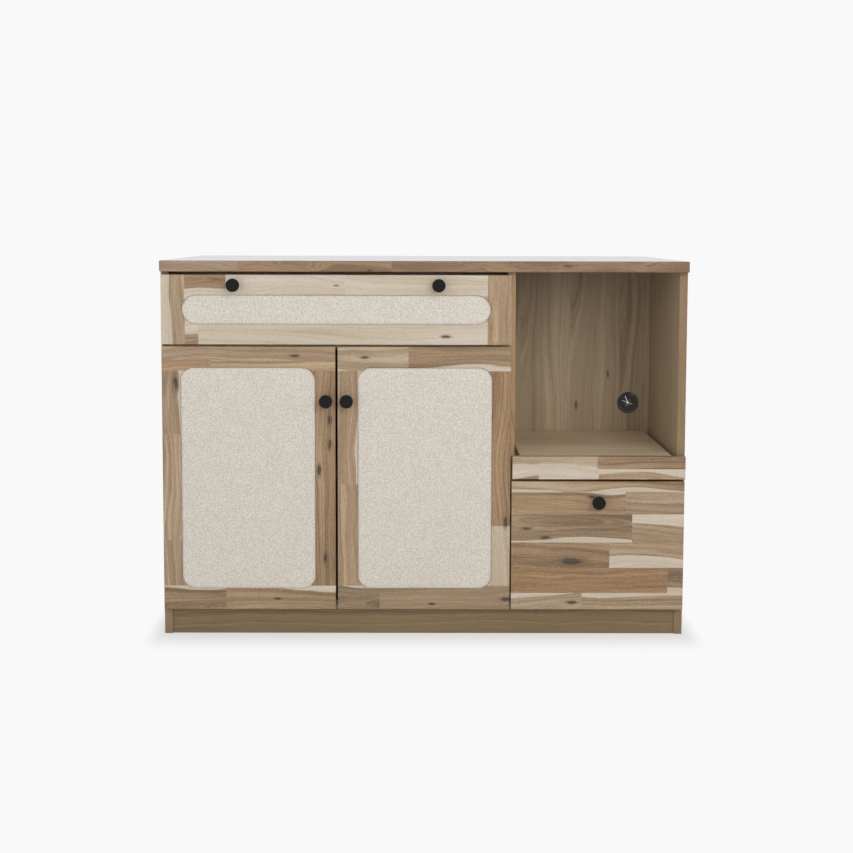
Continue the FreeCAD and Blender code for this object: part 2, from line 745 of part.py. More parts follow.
def drawer_box(prefix, left_wall, right_wall, z, height, with_front):
    """Sides, back, grooved-in bottom and, behind a window, an inner front."""
    left = "%s + slide_width" % left_wall
    right = "%s - slide_width - box_board" % right_wall
    inside_x = "%s + slide_width + box_board" % left_wall
    inside = "%s - (%s) - 2 * (slide_width + box_board)" % (right_wall, left_wall)
    base_z = "%s + box_base_lift" % z

    def base_plate(name, clearance):
        return box(
            name,
            "%s - box_groove - %s" % (inside_x, clearance),
            "front_back_y + box_board - box_groove - %s" % clearance if with_front else "front_back_y",
            "%s - %s" % (base_z, clearance),
            "%s + 2 * (box_groove + %s)" % (inside, clearance),
            (
                "box_depth - 2 * (box_board - box_groove - %s)" % clearance
                if with_front
                else "box_depth - box_board + box_groove + %s" % clearance
            ),
            "box_base + 2 * %s" % clearance,
        )

    for side, x in (("left", left), ("right", right)):
        board = box(
            "%s_%s_board" % (prefix, side), x, "front_back_y", z, "box_board", "box_depth", height
        )
        groove = base_plate("%s_%s_groove" % (prefix, side), "fit_gap")
        node(cut("%s_%s_side" % (prefix, side), board, [groove]))
    back = box(
        prefix + "_back_board", inside_x, "box_end_y - box_board", z, inside, "box_board", height
    )
    node(cut(prefix + "_back", back, [base_plate(prefix + "_back_groove", "fit_gap")]))
    if with_front:
        front = box(prefix + "_front_board", inside_x, "front_back_y", z, inside, "box_board", height)
        node(cut(prefix + "_inner_front", front, [base_plate(prefix + "_front_groove", "fit_gap")]))
    node(base_plate(prefix + "_bottom", "0 * fit_gap"))


# Wide drawer: a wood frame with a stadium window, its fabric pad and its backing board
WIDE_WIDTH = "(left_end - left_edge)"
wide_window = ("left_edge + wide_margin", "wide_z + wide_margin")
wide_hole = fuse(
    "wide_window",
    stadium_cutter(
        "wide_window",
        wide_window[0],
        wide_window[1],
        WIDE_WIDTH + " - 2 * wide_margin",
        "wide_height - 2 * wide_margin",
        "face_y - overrun",
        "frame_thick + 2 * overrun",
    ),
)
WIDE_EASED = "(wide_height - 2 * wide_margin + 2 * window_easing)"
wide_slopes = []
for side, x, sign in (("left", wide_window[0], "+"), ("right", "left_end - wide_margin", "-")):
    cone = doc.addObject("Part::Cone", "wide_window_slope_" + side)
    bind(cone, "Radius1", WIDE_EASED + " / 2")
    bind(cone, "Radius2", "wide_end_round")
    bind(cone, "Height", "window_easing")
    cone.Placement = Placement(Vector(), ALONG["y"])
    put(cone, "%s %s wide_end_round" % (x, sign), "face_y", "wide_z + wide_height / 2")
    wide_slopes.append(cone)
slope_body = doc.addObject("PartDesign::Body", "wide_window_slope")
slope_outline = sketch_outline(
    slope_body,
    "wide_window_slope_outline",
    "YZ_Plane",
    [
        ("0", "-%s / 2" % WIDE_EASED),
        ("window_easing", "-wide_end_round"),
        ("window_easing", "wide_end_round"),
        ("0", "%s / 2" % WIDE_EASED),
    ],
)
slope_pad = slope_body.newObject("PartDesign::Pad", "wide_window_slope_pad")
slope_pad.Profile = slope_outline
bind(slope_pad, "Length", WIDE_WIDTH + " - 2 * wide_margin - 2 * wide_end_round")
slope_outline.Visibility = False
slope_body.Tip = slope_pad
put(slope_body, wide_window[0] + " + wide_end_round", "face_y", "wide_z + wide_height / 2")
rail_zone = box(
    "wide_rail_zone",
    "left_edge + wide_stile_board",
    "face_y - overrun",
    "wide_z - overrun",
    WIDE_WIDTH + " - 2 * wide_stile_board",
    "frame_thick + 2 * overrun",
    "wide_height + 2 * overrun",
)
wide_frame_board = eased_front(
    "wide_frame_board", "left_edge", "wide_z", WIDE_WIDTH, "wide_height", "frame_thick"
)
wide_ring = cut("wide_frame_ring", wide_frame_board, [wide_hole, slope_body] + wide_slopes)
node(split("wide_drawer_frame", wide_ring, rail_zone))
node(
    fuse(
        "wide_drawer_fabric_pad",
        stadium_cutter(
            "wide_pad",
            wide_window[0] + " + pad_gap",
            wide_window[1] + " + pad_gap",
            WIDE_WIDTH + " - 2 * wide_margin - 2 * pad_gap",
            "wide_height - 2 * wide_margin - 2 * pad_gap",
            "backing_y - pad_thick",
            "pad_thick",
        ),
    )
)
node(box("wide_drawer_backing", "left_edge", "backing_y", "wide_z", WIDE_WIDTH, "backing_thick", "wide_height"))
drawer_box("wide_drawer", "-inner", "divider_left", "wide_box_z", "wide_box_height", True)
slides("wide_drawer", "-inner", "divider_left", "wide_slide_z")
WIDE_MID = "(left_edge + left_end) / 2"
knob("wide_drawer_left_knob", WIDE_MID + " - wide_knob_span / 2", "wide_top - wide_margin / 2")
knob("wide_drawer_right_knob", WIDE_MID + " + wide_knob_span / 2", "wide_top - wide_margin / 2")

# Lower drawer: a deep box behind one plank front
node(
    eased_front(
        "lower_drawer_front", "right_start", "front_z", "right_end - right_start", "low_height", "front_thick"
    )
)
drawer_box("lower_drawer", "divider_right", "inner", "low_box_z", "low_box_height", False)
slides("lower_drawer", "divider_right", "inner", "low_slide_z")
knob("lower_drawer_knob", "(right_start + right_end) / 2", "low_top - low_knob_drop")

# Pull-out shelf: the niche's floor, on cleats and slides, with a fascia
node(
    box(
        "pull_out_shelf",
        "divider_right + slide_width",
        "front_back_y",
        "pull_board_z",
        "niche_width - 2 * slide_width",
        "back_y - front_back_y - shelf_clear",
        "board",
    )
)
node(
    eased_front(
        "pull_out_fascia",
        "right_start + fascia_shift",
        "fascia_z",
        "right_end - right_start",
        "fascia_height",
        "front_thick",
    )
)
cleats = []
for side_name, x in (("left", "divider_right + slide_width"), ("right", "inner - slide_width - board")):
    cleats.append(
        box(
            side_name + "_cleat",
            x,
            "front_back_y",
            "pull_cleat_z",
            "board",
            "front_gap + slide_setback + slide_length",
            "cleat_height",
        )
    )
node(group("pull_out_cleats", cleats))
slides("pull_out", "divider_right", "inner", "pull_slide_z")


def from_edge(edge, sign, across):
    """A place measured from a door's hinge edge towards its knob."""
    return "%s %s (%s)" % (edge, "+" if sign > 0 else "-", across)


def hinge_cup(name, edge, sign, z):
    """A pressed steel cup with its flange, pin and folded link, sunk in the back of a door."""
    cup, turn = turned(
        name + "_bowl",
        [
            ("0", "0"),
            ("cup_round", "0"),
            ("cup_round", "cup_deep"),
            ("cup_round - cup_wall", "cup_deep"),
            ("cup_round - cup_wall", "cup_wall"),
            ("0", "cup_wall"),
        ],
    )
    cup.Placement = Placement(Vector(), ALONG["y"])
    centre_x = from_edge(edge, sign, "cup_in")
    put(cup, centre_x, "cup_floor_y", z)
    wing = box(
        name + "_wing_plate",
        "%s - wing_width / 2" % centre_x,
        "front_back_y",
        "%s - wing_height / 2" % z,
        "wing_width",
        "wing_thick",
        "wing_height",
    )
    mouth = rod(
        name + "_mouth",
        "y",
        centre_x,
        "front_back_y - overrun",
        z,
        "cup_round - cup_wall",
        "wing_thick + 2 * overrun",
    )
    wings = cut(name + "_wings", wing, [mouth])
    pin_x = from_edge(edge, sign, "link_pin_in")
    pin_y = "cup_floor_y + cup_wall + link_pin_lift"
    half_pin = "sqrt(pow(cup_round - cup_wall / 2; 2) - pow(cup_in - link_pin_in; 2))"
    pin = rod(name + "_pin", "z", pin_x, pin_y, "%s - %s" % (z, half_pin), "pin_steel", "2 * " + half_pin)
    eye_end = "link_pin_in - link_thick / 2" if sign > 0 else "link_pin_in + link_length"
    link_x = from_edge(edge, sign, eye_end)
    link = box(
        name + "_link",
        link_x,
        pin_y + " - link_thick / 2",
        "%s - link_width / 2" % z,
        "link_length + link_thick / 2",
        "link_thick",
        "link_width",
    )
    return fuse(name, [cup, wings, pin, link])


def level_outline(label, x, y, z, corners, depth):
    """A body with an outline drawn in the XY plane and carried up along Z."""
    body = doc.addObject("PartDesign::Body", label)
    outline = sketch_outline(body, label + "_outline", "XY_Plane", corners)
    pad = body.newObject("PartDesign::Pad", label + "_pad")
    pad.Profile = outline
    bind(pad, "Length", depth)
    outline.Visibility = False
    body.Tip = pad
    return put(body, x, y, z)


def hinge_arm(name, edge, sign, wall_in, z):
    """The mounting plate on an upright board, and the channel arm whose nose dips into the cup."""
    side = "" if sign > 0 else "-"
    spine_corner = wall_in if sign > 0 else wall_in + " + plate_thick"
    spine = box(
        name + "_spine",
        from_edge(edge, sign, spine_corner),
        "carcass_y + plate_setback",
        "%s - plate_width / 2" % z,
        "plate_thick",
        "plate_length",
        "plate_width",
    )
    wings = box(
        name + "_plate_wings",
        from_edge(edge, sign, spine_corner),
        "carcass_y + plate_setback + (plate_length - plate_wing_deep) / 2",
        "%s - plate_wing / 2" % z,
        "plate_thick",
        "plate_wing_deep",
        "plate_wing",
    )
    plate = fuse(name + "_plate", [spine, wings])

    foot = wall_in + " + plate_thick"
    half = "arm_width / 2"
    profile = [
        (foot, "-" + half),
        ("arm_far", "-" + half),
        ("arm_far", half),
        (foot, half),
        (foot, half + " - arm_sheet"),
        ("arm_far - arm_sheet", half + " - arm_sheet"),
        ("arm_far - arm_sheet", "arm_sheet - " + half),
        (foot, "arm_sheet - " + half),
    ]
    corners = [("%s(%s)" % (side, across), up) for across, up in profile]
    channel, channel_pad = padded(name + "_channel", corners, "arm_length")
    put(channel, edge, "arm_y", z)

    drop = "nose_y - arm_y"
    cheek = [
        ("nose_near", drop),
        ("arm_far", drop),
        ("arm_far", "arm_chamfer"),
        (foot, "arm_chamfer"),
        (foot, "0"),
        ("nose_near", "-arm_chamfer"),
    ]
    corners = [("%s(%s)" % (side, across), back) for across, back in cheek]
    low_cheek = level_outline(
        name + "_low_cheek", edge, "arm_y", "%s - arm_width / 2" % z, corners, "arm_sheet"
    )
    high_cheek = level_outline(
        name + "_high_cheek", edge, "arm_y", "%s + arm_width / 2 - arm_sheet" % z, corners, "arm_sheet"
    )
    knuckle = rod(
        name + "_knuckle",
        "z",
        from_edge(edge, sign, "(nose_near + arm_far) / 2"),
        "nose_y + knuckle_round",
        "%s - arm_width / 2" % z,
        "knuckle_round",
        "arm_width",
    )
    return [plate, fuse(name + "_arm", [channel, low_cheek, high_cheek, knuckle])]


def door(prefix, start, hinge_edge, sign, wall_in):
    """A framed door with a fabric window, hung on two concealed hinges."""
    window_x = start + (" + hinge_stile" if sign > 0 else " + knob_stile")
    window_width = "door_width - hinge_stile - knob_stile"
    window_height = "door_height - 2 * door_rail"
    cup_bores = []
    cups = []
    arms = []
    for level, z in (("low", "low_hinge_z"), ("high", "high_hinge_z")):
        name = "%s_%s_hinge" % (prefix, level)
        centre_x = "%s %s cup_in" % (hinge_edge, "+" if sign > 0 else "-")
        cup_bores.append((name, centre_x, z))
        cups.append(hinge_cup(name + "_cup", hinge_edge, sign, z))
        arms += hinge_arm(name, hinge_edge, sign, wall_in, z)

    def bores(suffix):
        return [
            rod(
                name + suffix,
                "y",
                centre_x,
                "cup_floor_y - cup_gap",
                z,
                "cup_round + cup_gap",
                "cup_deep + cup_gap + overrun",
            )
            for name, centre_x, z in cup_bores
        ]

    hole = rounded_plate(
        prefix + "_window",
        window_x,
        "front_z + door_rail",
        window_width,
        window_height,
        "window_round",
        "face_y - overrun",
        "frame_thick + 2 * overrun",
    )
    slope = rounded_plate(
        prefix + "_window_easing",
        window_x + " - window_easing",
        "front_z + door_rail - window_easing",
        window_width + " + 2 * window_easing",
        window_height + " + 2 * window_easing",
        "window_round + window_easing",
        "face_y - overrun",
        "overrun + window_easing",
        "window_easing",
    )
    frame_board = eased_front(
        prefix + "_frame_board", start, "front_z", "door_width", "door_height", "frame_thick"
    )
    frame_ring = cut(prefix + "_frame_ring", frame_board, [hole, slope] + bores("_frame_bore"))
    stile_zone = box(
        prefix + "_stile_zone",
        start + " - overrun",
        "face_y - overrun",
        "front_z + door_rail_board",
        "door_width + 2 * overrun",
        "frame_thick + 2 * overrun",
        "door_height - 2 * door_rail_board",
    )
    node(split(prefix + "_frame", frame_ring, stile_zone))
    node(
        rounded_plate(
            prefix + "_fabric_pad",
            window_x + " + pad_gap",
            "front_z + door_rail + pad_gap",
            window_width + " - 2 * pad_gap",
            window_height + " - 2 * pad_gap",
            "window_round - pad_gap",
            "backing_y - pad_thick",
            "pad_thick",
        )
    )
    backing = box(
        prefix + "_backing_board", start, "backing_y", "front_z", "door_width", "backing_thick", "door_height"
    )
    node(cut(prefix + "_backing", backing, bores("_backing_bore")))
    node(group(prefix + "_hinge_cups", cups))
    node(group(prefix + "_hinge_arms", arms))


# Doors: the left one hangs on the left side panel, the right one on the divider
door("left_door", "left_edge", "left_edge", 1, "-inner - left_edge")
door("right_door", "right_door_start", "left_end", -1, "left_end - divider_left")
knob("left_door_knob", "left_door_end - door_knob_in", "door_top - door_knob_drop")
knob("right_door_knob", "right_door_start + door_knob_in", "door_top - door_knob_drop")

doc.recompute()
for obj in doc.Objects:
    if "Invalid" in obj.State or "Error" in obj.State:
        raise RuntimeError("failed object: %s %s" % (obj.Label, obj.State))
for label, obj in NODES.items():
    if obj.Shape.isNull() or not obj.Shape.isValid():
        raise RuntimeError("bad shape: " + label)

os.makedirs("parts", exist_ok=True)
for label, obj in NODES.items():
    obj.Shape.exportStep("parts/%s.step" % label)
    print("%-28s %d solid(s) %10.0f mm3" % (label, len(obj.Shape.Solids), obj.Shape.Volume))
print(len(NODES), "nodes")
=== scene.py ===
import bpy
import math
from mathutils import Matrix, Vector


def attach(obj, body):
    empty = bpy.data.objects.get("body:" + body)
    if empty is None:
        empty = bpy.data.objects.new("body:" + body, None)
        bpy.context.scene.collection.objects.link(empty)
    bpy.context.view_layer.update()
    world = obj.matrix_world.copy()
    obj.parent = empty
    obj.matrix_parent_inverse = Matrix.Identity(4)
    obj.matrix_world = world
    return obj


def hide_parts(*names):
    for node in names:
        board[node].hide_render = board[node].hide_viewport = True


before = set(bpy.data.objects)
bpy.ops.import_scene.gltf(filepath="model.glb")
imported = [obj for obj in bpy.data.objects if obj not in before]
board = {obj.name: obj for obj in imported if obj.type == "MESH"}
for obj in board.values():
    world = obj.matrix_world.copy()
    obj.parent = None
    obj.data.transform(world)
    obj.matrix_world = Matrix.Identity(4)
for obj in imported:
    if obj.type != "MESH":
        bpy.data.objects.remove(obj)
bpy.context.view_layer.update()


# Carcass boards: sides, divider, floor, rails, plinths, loose shelf and the two backs in grooves.
# Particle board faced with an oak-print melamine, matt, with the grain along each board's length.
# Cam bolts and locks hold the level boards to the uprights.
class Finish:
    """A finish mixed from nodes. Its methods join sockets and numbers, and give a socket back."""

    def __init__(self, name):
        self.material = bpy.data.materials.new(name)
        self.material.use_nodes = True
        self.tree = self.material.node_tree
        self.tree.nodes.clear()
        self.skin = self.tree.nodes.new("ShaderNodeBsdfPrincipled")
        self.out = self.tree.nodes.new("ShaderNodeOutputMaterial")
        self.tree.links.new(self.skin.outputs["BSDF"], self.out.inputs["Surface"])
        self.place = self.add("ShaderNodeTexCoord").outputs["Object"]
        self.x, self.y, self.z = self.add("ShaderNodeSeparateXYZ", {0: self.place}).outputs

    def feed(self, socket, value):
        if isinstance(value, bpy.types.NodeSocket):
            self.tree.links.new(value, socket)
        else:
            socket.default_value = value

    def add(self, kind, feeds=None, **settings):
        node = self.tree.nodes.new(kind)
        for name, value in settings.items():
            setattr(node, name, value)
        for key, value in (feeds or {}).items():
            self.feed(node.inputs[key], value)
        return node

    def calc(self, operation, *feeds):
        return self.add("ShaderNodeMath", dict(enumerate(feeds)), operation=operation).outputs[0]

    def plus(self, first, *others):
        for other in others:
            first = self.calc("ADD", first, other)
        return first

    def less(self, first, second):
        return self.calc("SUBTRACT", first, second)

    def times(self, first, second):
        return self.calc("MULTIPLY", first, second)

    def over(self, first, second):
        return self.calc("DIVIDE", first, second)

    def length(self, first, second):
        squares = self.plus(self.times(first, first), self.times(second, second))
        return self.calc("SQRT", squares)

    def swing(self, value, reach):
        """A noise, which lies round a half, made to swing round nought."""
        return self.times(self.less(value, 0.5), reach)

    def spot(self, x, y, z):
        return self.add("ShaderNodeCombineXYZ", {0: x, 1: y, 2: z}).outputs[0]

    def parts(self, colour):
        return self.add("ShaderNodeSeparateColor", {0: colour}).outputs

    def draw(self, seed):
        """A number from 0 to 1 that belongs to its seed."""
        return self.add("ShaderNodeTexWhiteNoise", {"W": seed}, noise_dimensions="1D").outputs["Value"]

    def noise(self, where, scale=1.0, detail=2.0, rough=0.5):
        feeds = {"Vector": where, "Scale": scale, "Detail": detail, "Roughness": rough}
        return self.add("ShaderNodeTexNoise", feeds).outputs["Fac"]

    def drawn(self, along, tight, across, fine, third, detail=1.0, rough=0.5):
        """A noise drawn out along the grain, with tight lumps a metre along it and fine ones across."""
        where = self.spot(self.times(along, tight), self.times(across, fine), third)
        return self.noise(where, 1.0, detail, rough)

    def rings(self, radius, count):
        """Growth rings: a noise of the distance from the heart, with count lumps in a metre."""
        feeds = {"W": radius, "Scale": count, "Detail": 2.0, "Roughness": 0.6}
        return self.add("ShaderNodeTexNoise", feeds, noise_dimensions="1D").outputs["Fac"]

    def step(self, value, low, high, out_low=0.0, out_high=1.0, smooth=True):
        feeds = {"Value": value, "From Min": low, "From Max": high, "To Min": out_low, "To Max": out_high}
        kind = "SMOOTHSTEP" if smooth else "LINEAR"
        return self.add("ShaderNodeMapRange", feeds, interpolation_type=kind).outputs["Result"]

    def ramp(self, share, stops):
        """Holds each colour from its place up to the next. Gives red, green, blue and alpha."""
        node = self.add("ShaderNodeValToRGB", {0: share})
        node.color_ramp.interpolation = "CONSTANT"
        strip = node.color_ramp.elements
        for n, (place, colour) in enumerate(stops):
            here = strip[0] if n == 0 else strip.new(place)
            here.position, here.color = place, colour
        strip.remove(strip[len(strip) - 1])
        red, green, blue = self.parts(node.outputs["Color"])
        return red, green, blue, node.outputs["Alpha"]

    def tint(self, share, first, second, how="MIX"):
        node = self.add("ShaderNodeMix", {0: share, 6: first, 7: second}, data_type="RGBA", blend_type=how)
        return node.outputs[2]

    def between(self, share, first, second):
        return self.add("ShaderNodeMix", {0: share, 2: first, 3: second}).outputs[0]

    def coat(self, weight, rough):
        self.skin.inputs["Coat Weight"].default_value = weight
        self.skin.inputs["Coat Roughness"].default_value = rough

    def look(self, colour, rough, sheen=None):
        """The colour, the roughness and, where it isn't the usual one, how much light glances off."""
        self.feed(self.skin.inputs["Base Color"], colour)
        self.feed(self.skin.inputs["Roughness"], rough)
        if sheen is not None:
            self.skin.inputs["Specular IOR Level"].default_value = sheen

    def relief(self, height, depth, strength=1.0):
        feeds = {"Height": height, "Distance": depth, "Strength": strength}
        self.feed(self.skin.inputs["Normal"], self.add("ShaderNodeBump", feeds).outputs["Normal"])

    def put_on(self, *names):
        for name in names:
            for holder in board[name].material_slots:
                holder.material = self.material


def paint(red, green, blue):
    """A colour as it is seen, 0 to 255, as the shader wants it."""
    def one(v):
        v /= 255.0
        return v / 12.92 if v <= 0.04045 else ((v + 0.055) / 1.055) ** 2.4
    return (one(red), one(green), one(blue), 1.0)


def eyes(f, along, across, knots):
    """Knots are (along, across, size): the grain bends round each, and its eye darkens inwards."""
    long, bend, ragged = 3.0, 0.8, 1.1  # an eye is three times as long as wide, with a ragged edge
    eye = 0.0
    for a0, c0, size in knots:
        gap = f.less(across, c0)
        rag = f.drawn(along, 90.0, across, 260.0, c0, 2.0, 0.6)
        da = f.over(f.less(along, a0), size * long)
        dc = f.plus(f.over(gap, size), f.swing(rag, ragged))
        far = f.plus(f.times(da, da), f.times(dc, dc))
        bell = f.over(1.0, f.plus(1.0, f.times(far, far)))
        across = f.less(across, f.times(gap, f.times(bell, bend)))
        eye = f.calc("MAXIMUM", eye, bell)
    return across, eye


def oak_print(name, run, cross, face, tones, shift, cell, planks=0.3, knots=()):
    """Printed oak: run is the axis of the grain, cross the board's width, face its thickness.
    The print shows planks as wide as cell, which differ in tone by planks."""
    f = Finish(name)
    pale, mid, dark = tones
    axis = {"x": f.x, "y": f.y, "z": f.z}
    along, across, deep = axis[run], axis[cross], axis[face]
    across, eye = eyes(f, along, across, knots)
    across = f.plus(across, shift)
    slow = f.drawn(along, 2.1, across, 5.0, shift)
    quick = f.drawn(along, 9.0, across, 26.0, shift)
    lie = f.plus(across, f.plus(f.swing(slow, 0.085), f.swing(quick, 0.012)), f.times(deep, 0.4))
    plank = f.calc("FLOOR", f.over(across, cell))
    luck = f.draw(f.plus(plank, shift * 7.3))
    # growth rings round a heart that wanders near the middle of its plank
    heart = f.times(f.plus(plank, f.plus(0.3, f.times(luck, 0.4))), cell)
    aside = f.times(f.noise(f.spot(f.times(along, 1.7), luck, 3.0), 1.0, 0.0), 0.07)
    radius = f.plus(f.length(f.less(lie, heart), aside), luck)
    bands, lines = f.rings(radius, 95.0), f.rings(radius, 520.0)
    fibre = f.drawn(along, 11.0, across, 620.0, f.times(deep, 620.0), 3.0, 0.62)
    pores = f.drawn(along, 55.0, across, 1100.0, f.times(deep, 1100.0))
    cloud = f.drawn(along, 1.6, across, 7.0, 8.0 + shift, 2.0)
    tone = f.plus(f.swing(bands, 1.5), f.swing(lines, 0.9), f.swing(fibre, 1.3), f.swing(luck, planks),
                  f.swing(cloud, 1.1))
    colour = f.tint(f.step(tone, -0.75, 0.1), pale, mid)
    colour = f.tint(f.step(tone, 0.0, 0.85), colour, dark)
    colour = f.tint(f.step(pores, 0.40, 0.30, 0.0, 0.45), colour, dark)
    if knots:
        colour = f.tint(f.step(eye, 0.15, 0.9, 0.0, 0.75), colour, paint(84, 68, 50))
    f.look(colour, f.step(fibre, 0.3, 0.7, 0.46, 0.58), 0.52)
    f.relief(f.plus(f.times(fibre, 0.6), f.times(f.step(pores, 0.30, 0.42), 0.4)), 0.00012, 0.7)
    return f


oak_tones = paint(186, 167, 141), paint(164, 145, 118), paint(132, 113, 89)
# the sides and divider are printed paler than oak_tones: painted light that lifts the niche's shaded walls
upright_tones_painted_lighter = paint(195, 178, 153), paint(173, 156, 130), paint(141, 125, 101)
plinth_tones = paint(141, 121, 90), paint(125, 105, 76), paint(100, 82, 57)
BAND_Y = -0.2676  # in front of it lies the band glued on a board's front edge, a shade darker
for name, shift, band, nodes in (
        ("oak_print_sides", 3.1, paint(198, 182, 163), ("left_side_panel", "right_side_panel")),
        ("oak_print_divider", 5.2, paint(253, 230, 206), ("centre_divider",))):
    upright = oak_print(name, "z", "y", "x", upright_tones_painted_lighter, shift, 0.2)
    faced = upright.skin.inputs["Base Color"].links[0].from_socket
    banded = upright.tint(1.0, faced, band, "MULTIPLY")
    edged = upright.tint(upright.calc("LESS_THAN", upright.y, BAND_Y), faced, banded)
    upright.feed(upright.skin.inputs["Base Color"], edged)
    upright.put_on(*nodes)
back_knots = [(0.566, 0.476, 0.0035), (0.486, 0.395, 0.004), (0.520, 0.226, 0.009), (0.655, 0.222, 0.010)]
back_print = oak_print("oak_print_back", "z", "x", "y", oak_tones, 5.83, 0.064, 0.55, back_knots)
back_print.put_on("back_panel_left", "back_panel_right")
level_print = oak_print("oak_print_level", "x", "y", "z", oak_tones, 7.7, 0.18)
level_print.put_on("bottom_panel", "top_rail_front", "top_rail_back", "drawer_rail", "loose_shelf")
plinth_print = oak_print("oak_print_plinth", "x", "z", "y", plinth_tones, 1.2, 0.11)
plinth_print.put_on("plinth_front", "plinth_back")


# Worktop: one 25 mm board of solid acacia, 1200 x 600, eased at its edges and screwed on from below.
# Staves about 50 mm wide are finger-jointed end to end in rows along the length and glued side to side.
# Two coats of clear satin lacquer lie over it, so seen at a low angle it mirrors the room.
TOP_Z, FACE_Y = 0.865, -0.288  # the worktop's upper face, and its front face, which is the fronts' too
OFFSET = 0.6  # added to x and y, so that a place on the cabinet stays above nought


def acacia(name, plan, knots=(), flat=False):
    """Acacia staves. plan gives each point its tone, the height and side of its sapwood, its own
    number, and whether it stands; knots are (along, across, size) of the dark eyes."""
    f = Finish(name)
    # depth under the face that shows; the top's grain runs on over its front edge
    deep = f.less(f.z, TOP_Z) if flat else f.plus(f.y, -FACE_Y)
    level_cross = f.less(f.plus(f.y, OFFSET), deep) if flat else f.z
    tone, edge, side, luck, stands = plan(f)
    along = f.between(stands, f.x, f.z)
    across = f.between(stands, level_cross, f.plus(f.x, OFFSET))
    across, eye = eyes(f, along, across, knots)
    own = f.times(luck, 53.0)
    slow = f.drawn(along, 3.2, across, 9.0, own)
    quick = f.drawn(along, 11.0, across, 40.0, own)
    lie = f.plus(across, f.plus(f.swing(slow, 0.06), f.swing(quick, 0.010)), f.times(deep, 0.5))
    # growth rings round a heart that lies beside or inside the stave
    heart = f.less(edge, f.times(side, f.plus(0.012, f.times(luck, 0.07))))
    aside = f.times(f.noise(f.spot(f.times(along, 2.6), own, 1.0), 1.0, 0.0), 0.05)
    radius = f.plus(f.length(f.less(lie, heart), aside), luck)
    bands, lines = f.rings(radius, 120.0), f.rings(radius, 640.0)
    fibre = f.drawn(along, 22.0, across, 700.0, f.times(deep, 700.0), 3.0, 0.62)
    fleck = f.drawn(along, 120.0, across, 420.0, f.times(deep, 420.0), 2.0, 0.6)
    pores = f.drawn(along, 80.0, across, 1500.0, f.times(deep, 1500.0))
    cloud = f.drawn(along, 4.0, across, 16.0, own, 2.0)
    streak = f.drawn(along, 1.8, lie, 75.0, own, 2.0, 0.55)
    grain = f.plus(f.swing(bands, 0.95), f.swing(lines, 0.8), f.swing(fibre, 1.0), f.swing(streak, 1.3),
                   f.swing(fleck, 0.8), f.swing(cloud, 0.7))
    brown = f.plus(tone, f.times(grain, 0.86))
    colour = f.tint(f.step(brown, -0.5, 0.05), paint(204, 190, 172), paint(189, 168, 143))
    colour = f.tint(f.step(brown, 0.0, 0.5), colour, paint(160, 136, 110))
    colour = f.tint(f.step(brown, 0.42, 1.05), colour, paint(119, 97, 73))
    # one stave is greyer, the next more orange: the third figure of its number, 0 orange and 9 grey
    shade = f.calc("FRACT", f.times(luck, 100.0))
    greyer = f.tint(1.0, colour, paint(214, 220, 216), "MULTIPLY")
    colour = f.tint(f.times(shade, 0.35), colour, greyer)
    warmer = f.tint(1.0, colour, paint(255, 236, 205), "MULTIPLY")
    colour = f.tint(f.step(shade, 0.0, 0.62, 0.85, 0.0, smooth=False), colour, warmer)
    # the heartwood darkens in a thin line where the sapwood starts
    above = f.times(f.less(lie, edge), side)
    patchy = f.step(f.noise(f.spot(f.times(along, 7.0), own, 5.0), 1.0, 1.0), 0.4, 0.65, 0.0, 0.55)
    colour = f.tint(f.times(f.step(above, -0.0075, -0.0012), patchy), colour, paint(124, 101, 76))
    sapwood = f.tint(f.step(grain, -0.7, 0.7), paint(211, 199, 184), paint(186, 169, 148))
    colour = f.tint(f.step(above, -0.0016, 0.0020), colour, sapwood)
    colour = f.tint(f.step(pores, 0.38, 0.28, 0.0, 0.34), colour, paint(104, 84, 63))
    if knots:
        colour = f.tint(f.step(eye, 0.10, 0.80, 0.0, 0.60), colour, paint(110, 91, 70))
        core = f.step(f.plus(eye, f.swing(fibre, 0.5)), 0.80, 0.97, 0.0, 0.88)
        colour = f.tint(core, colour, paint(62, 55, 49))
    f.look(colour, f.step(fibre, 0.3, 0.7, 0.42, 0.56), 0.53)
    f.relief(f.plus(f.times(fibre, 0.6), f.times(f.step(pores, 0.28, 0.40), 0.4)), 0.00015, 0.8)
    return f


TOP_LENGTH, ROW, FRONT_ROW = 1.2, 0.05, -0.25  # a row's width, and where the front row ends
worktop_front = (  # the front row's staves, as the photograph shows them: (start, tone, number)
    (-0.60, 0.49, 0.135), (-0.424, 0.72, 0.581), (-0.078, 0.90, 0.351), (0.125, 0.89, 0.811),
    (0.50, 0.85, 0.271))


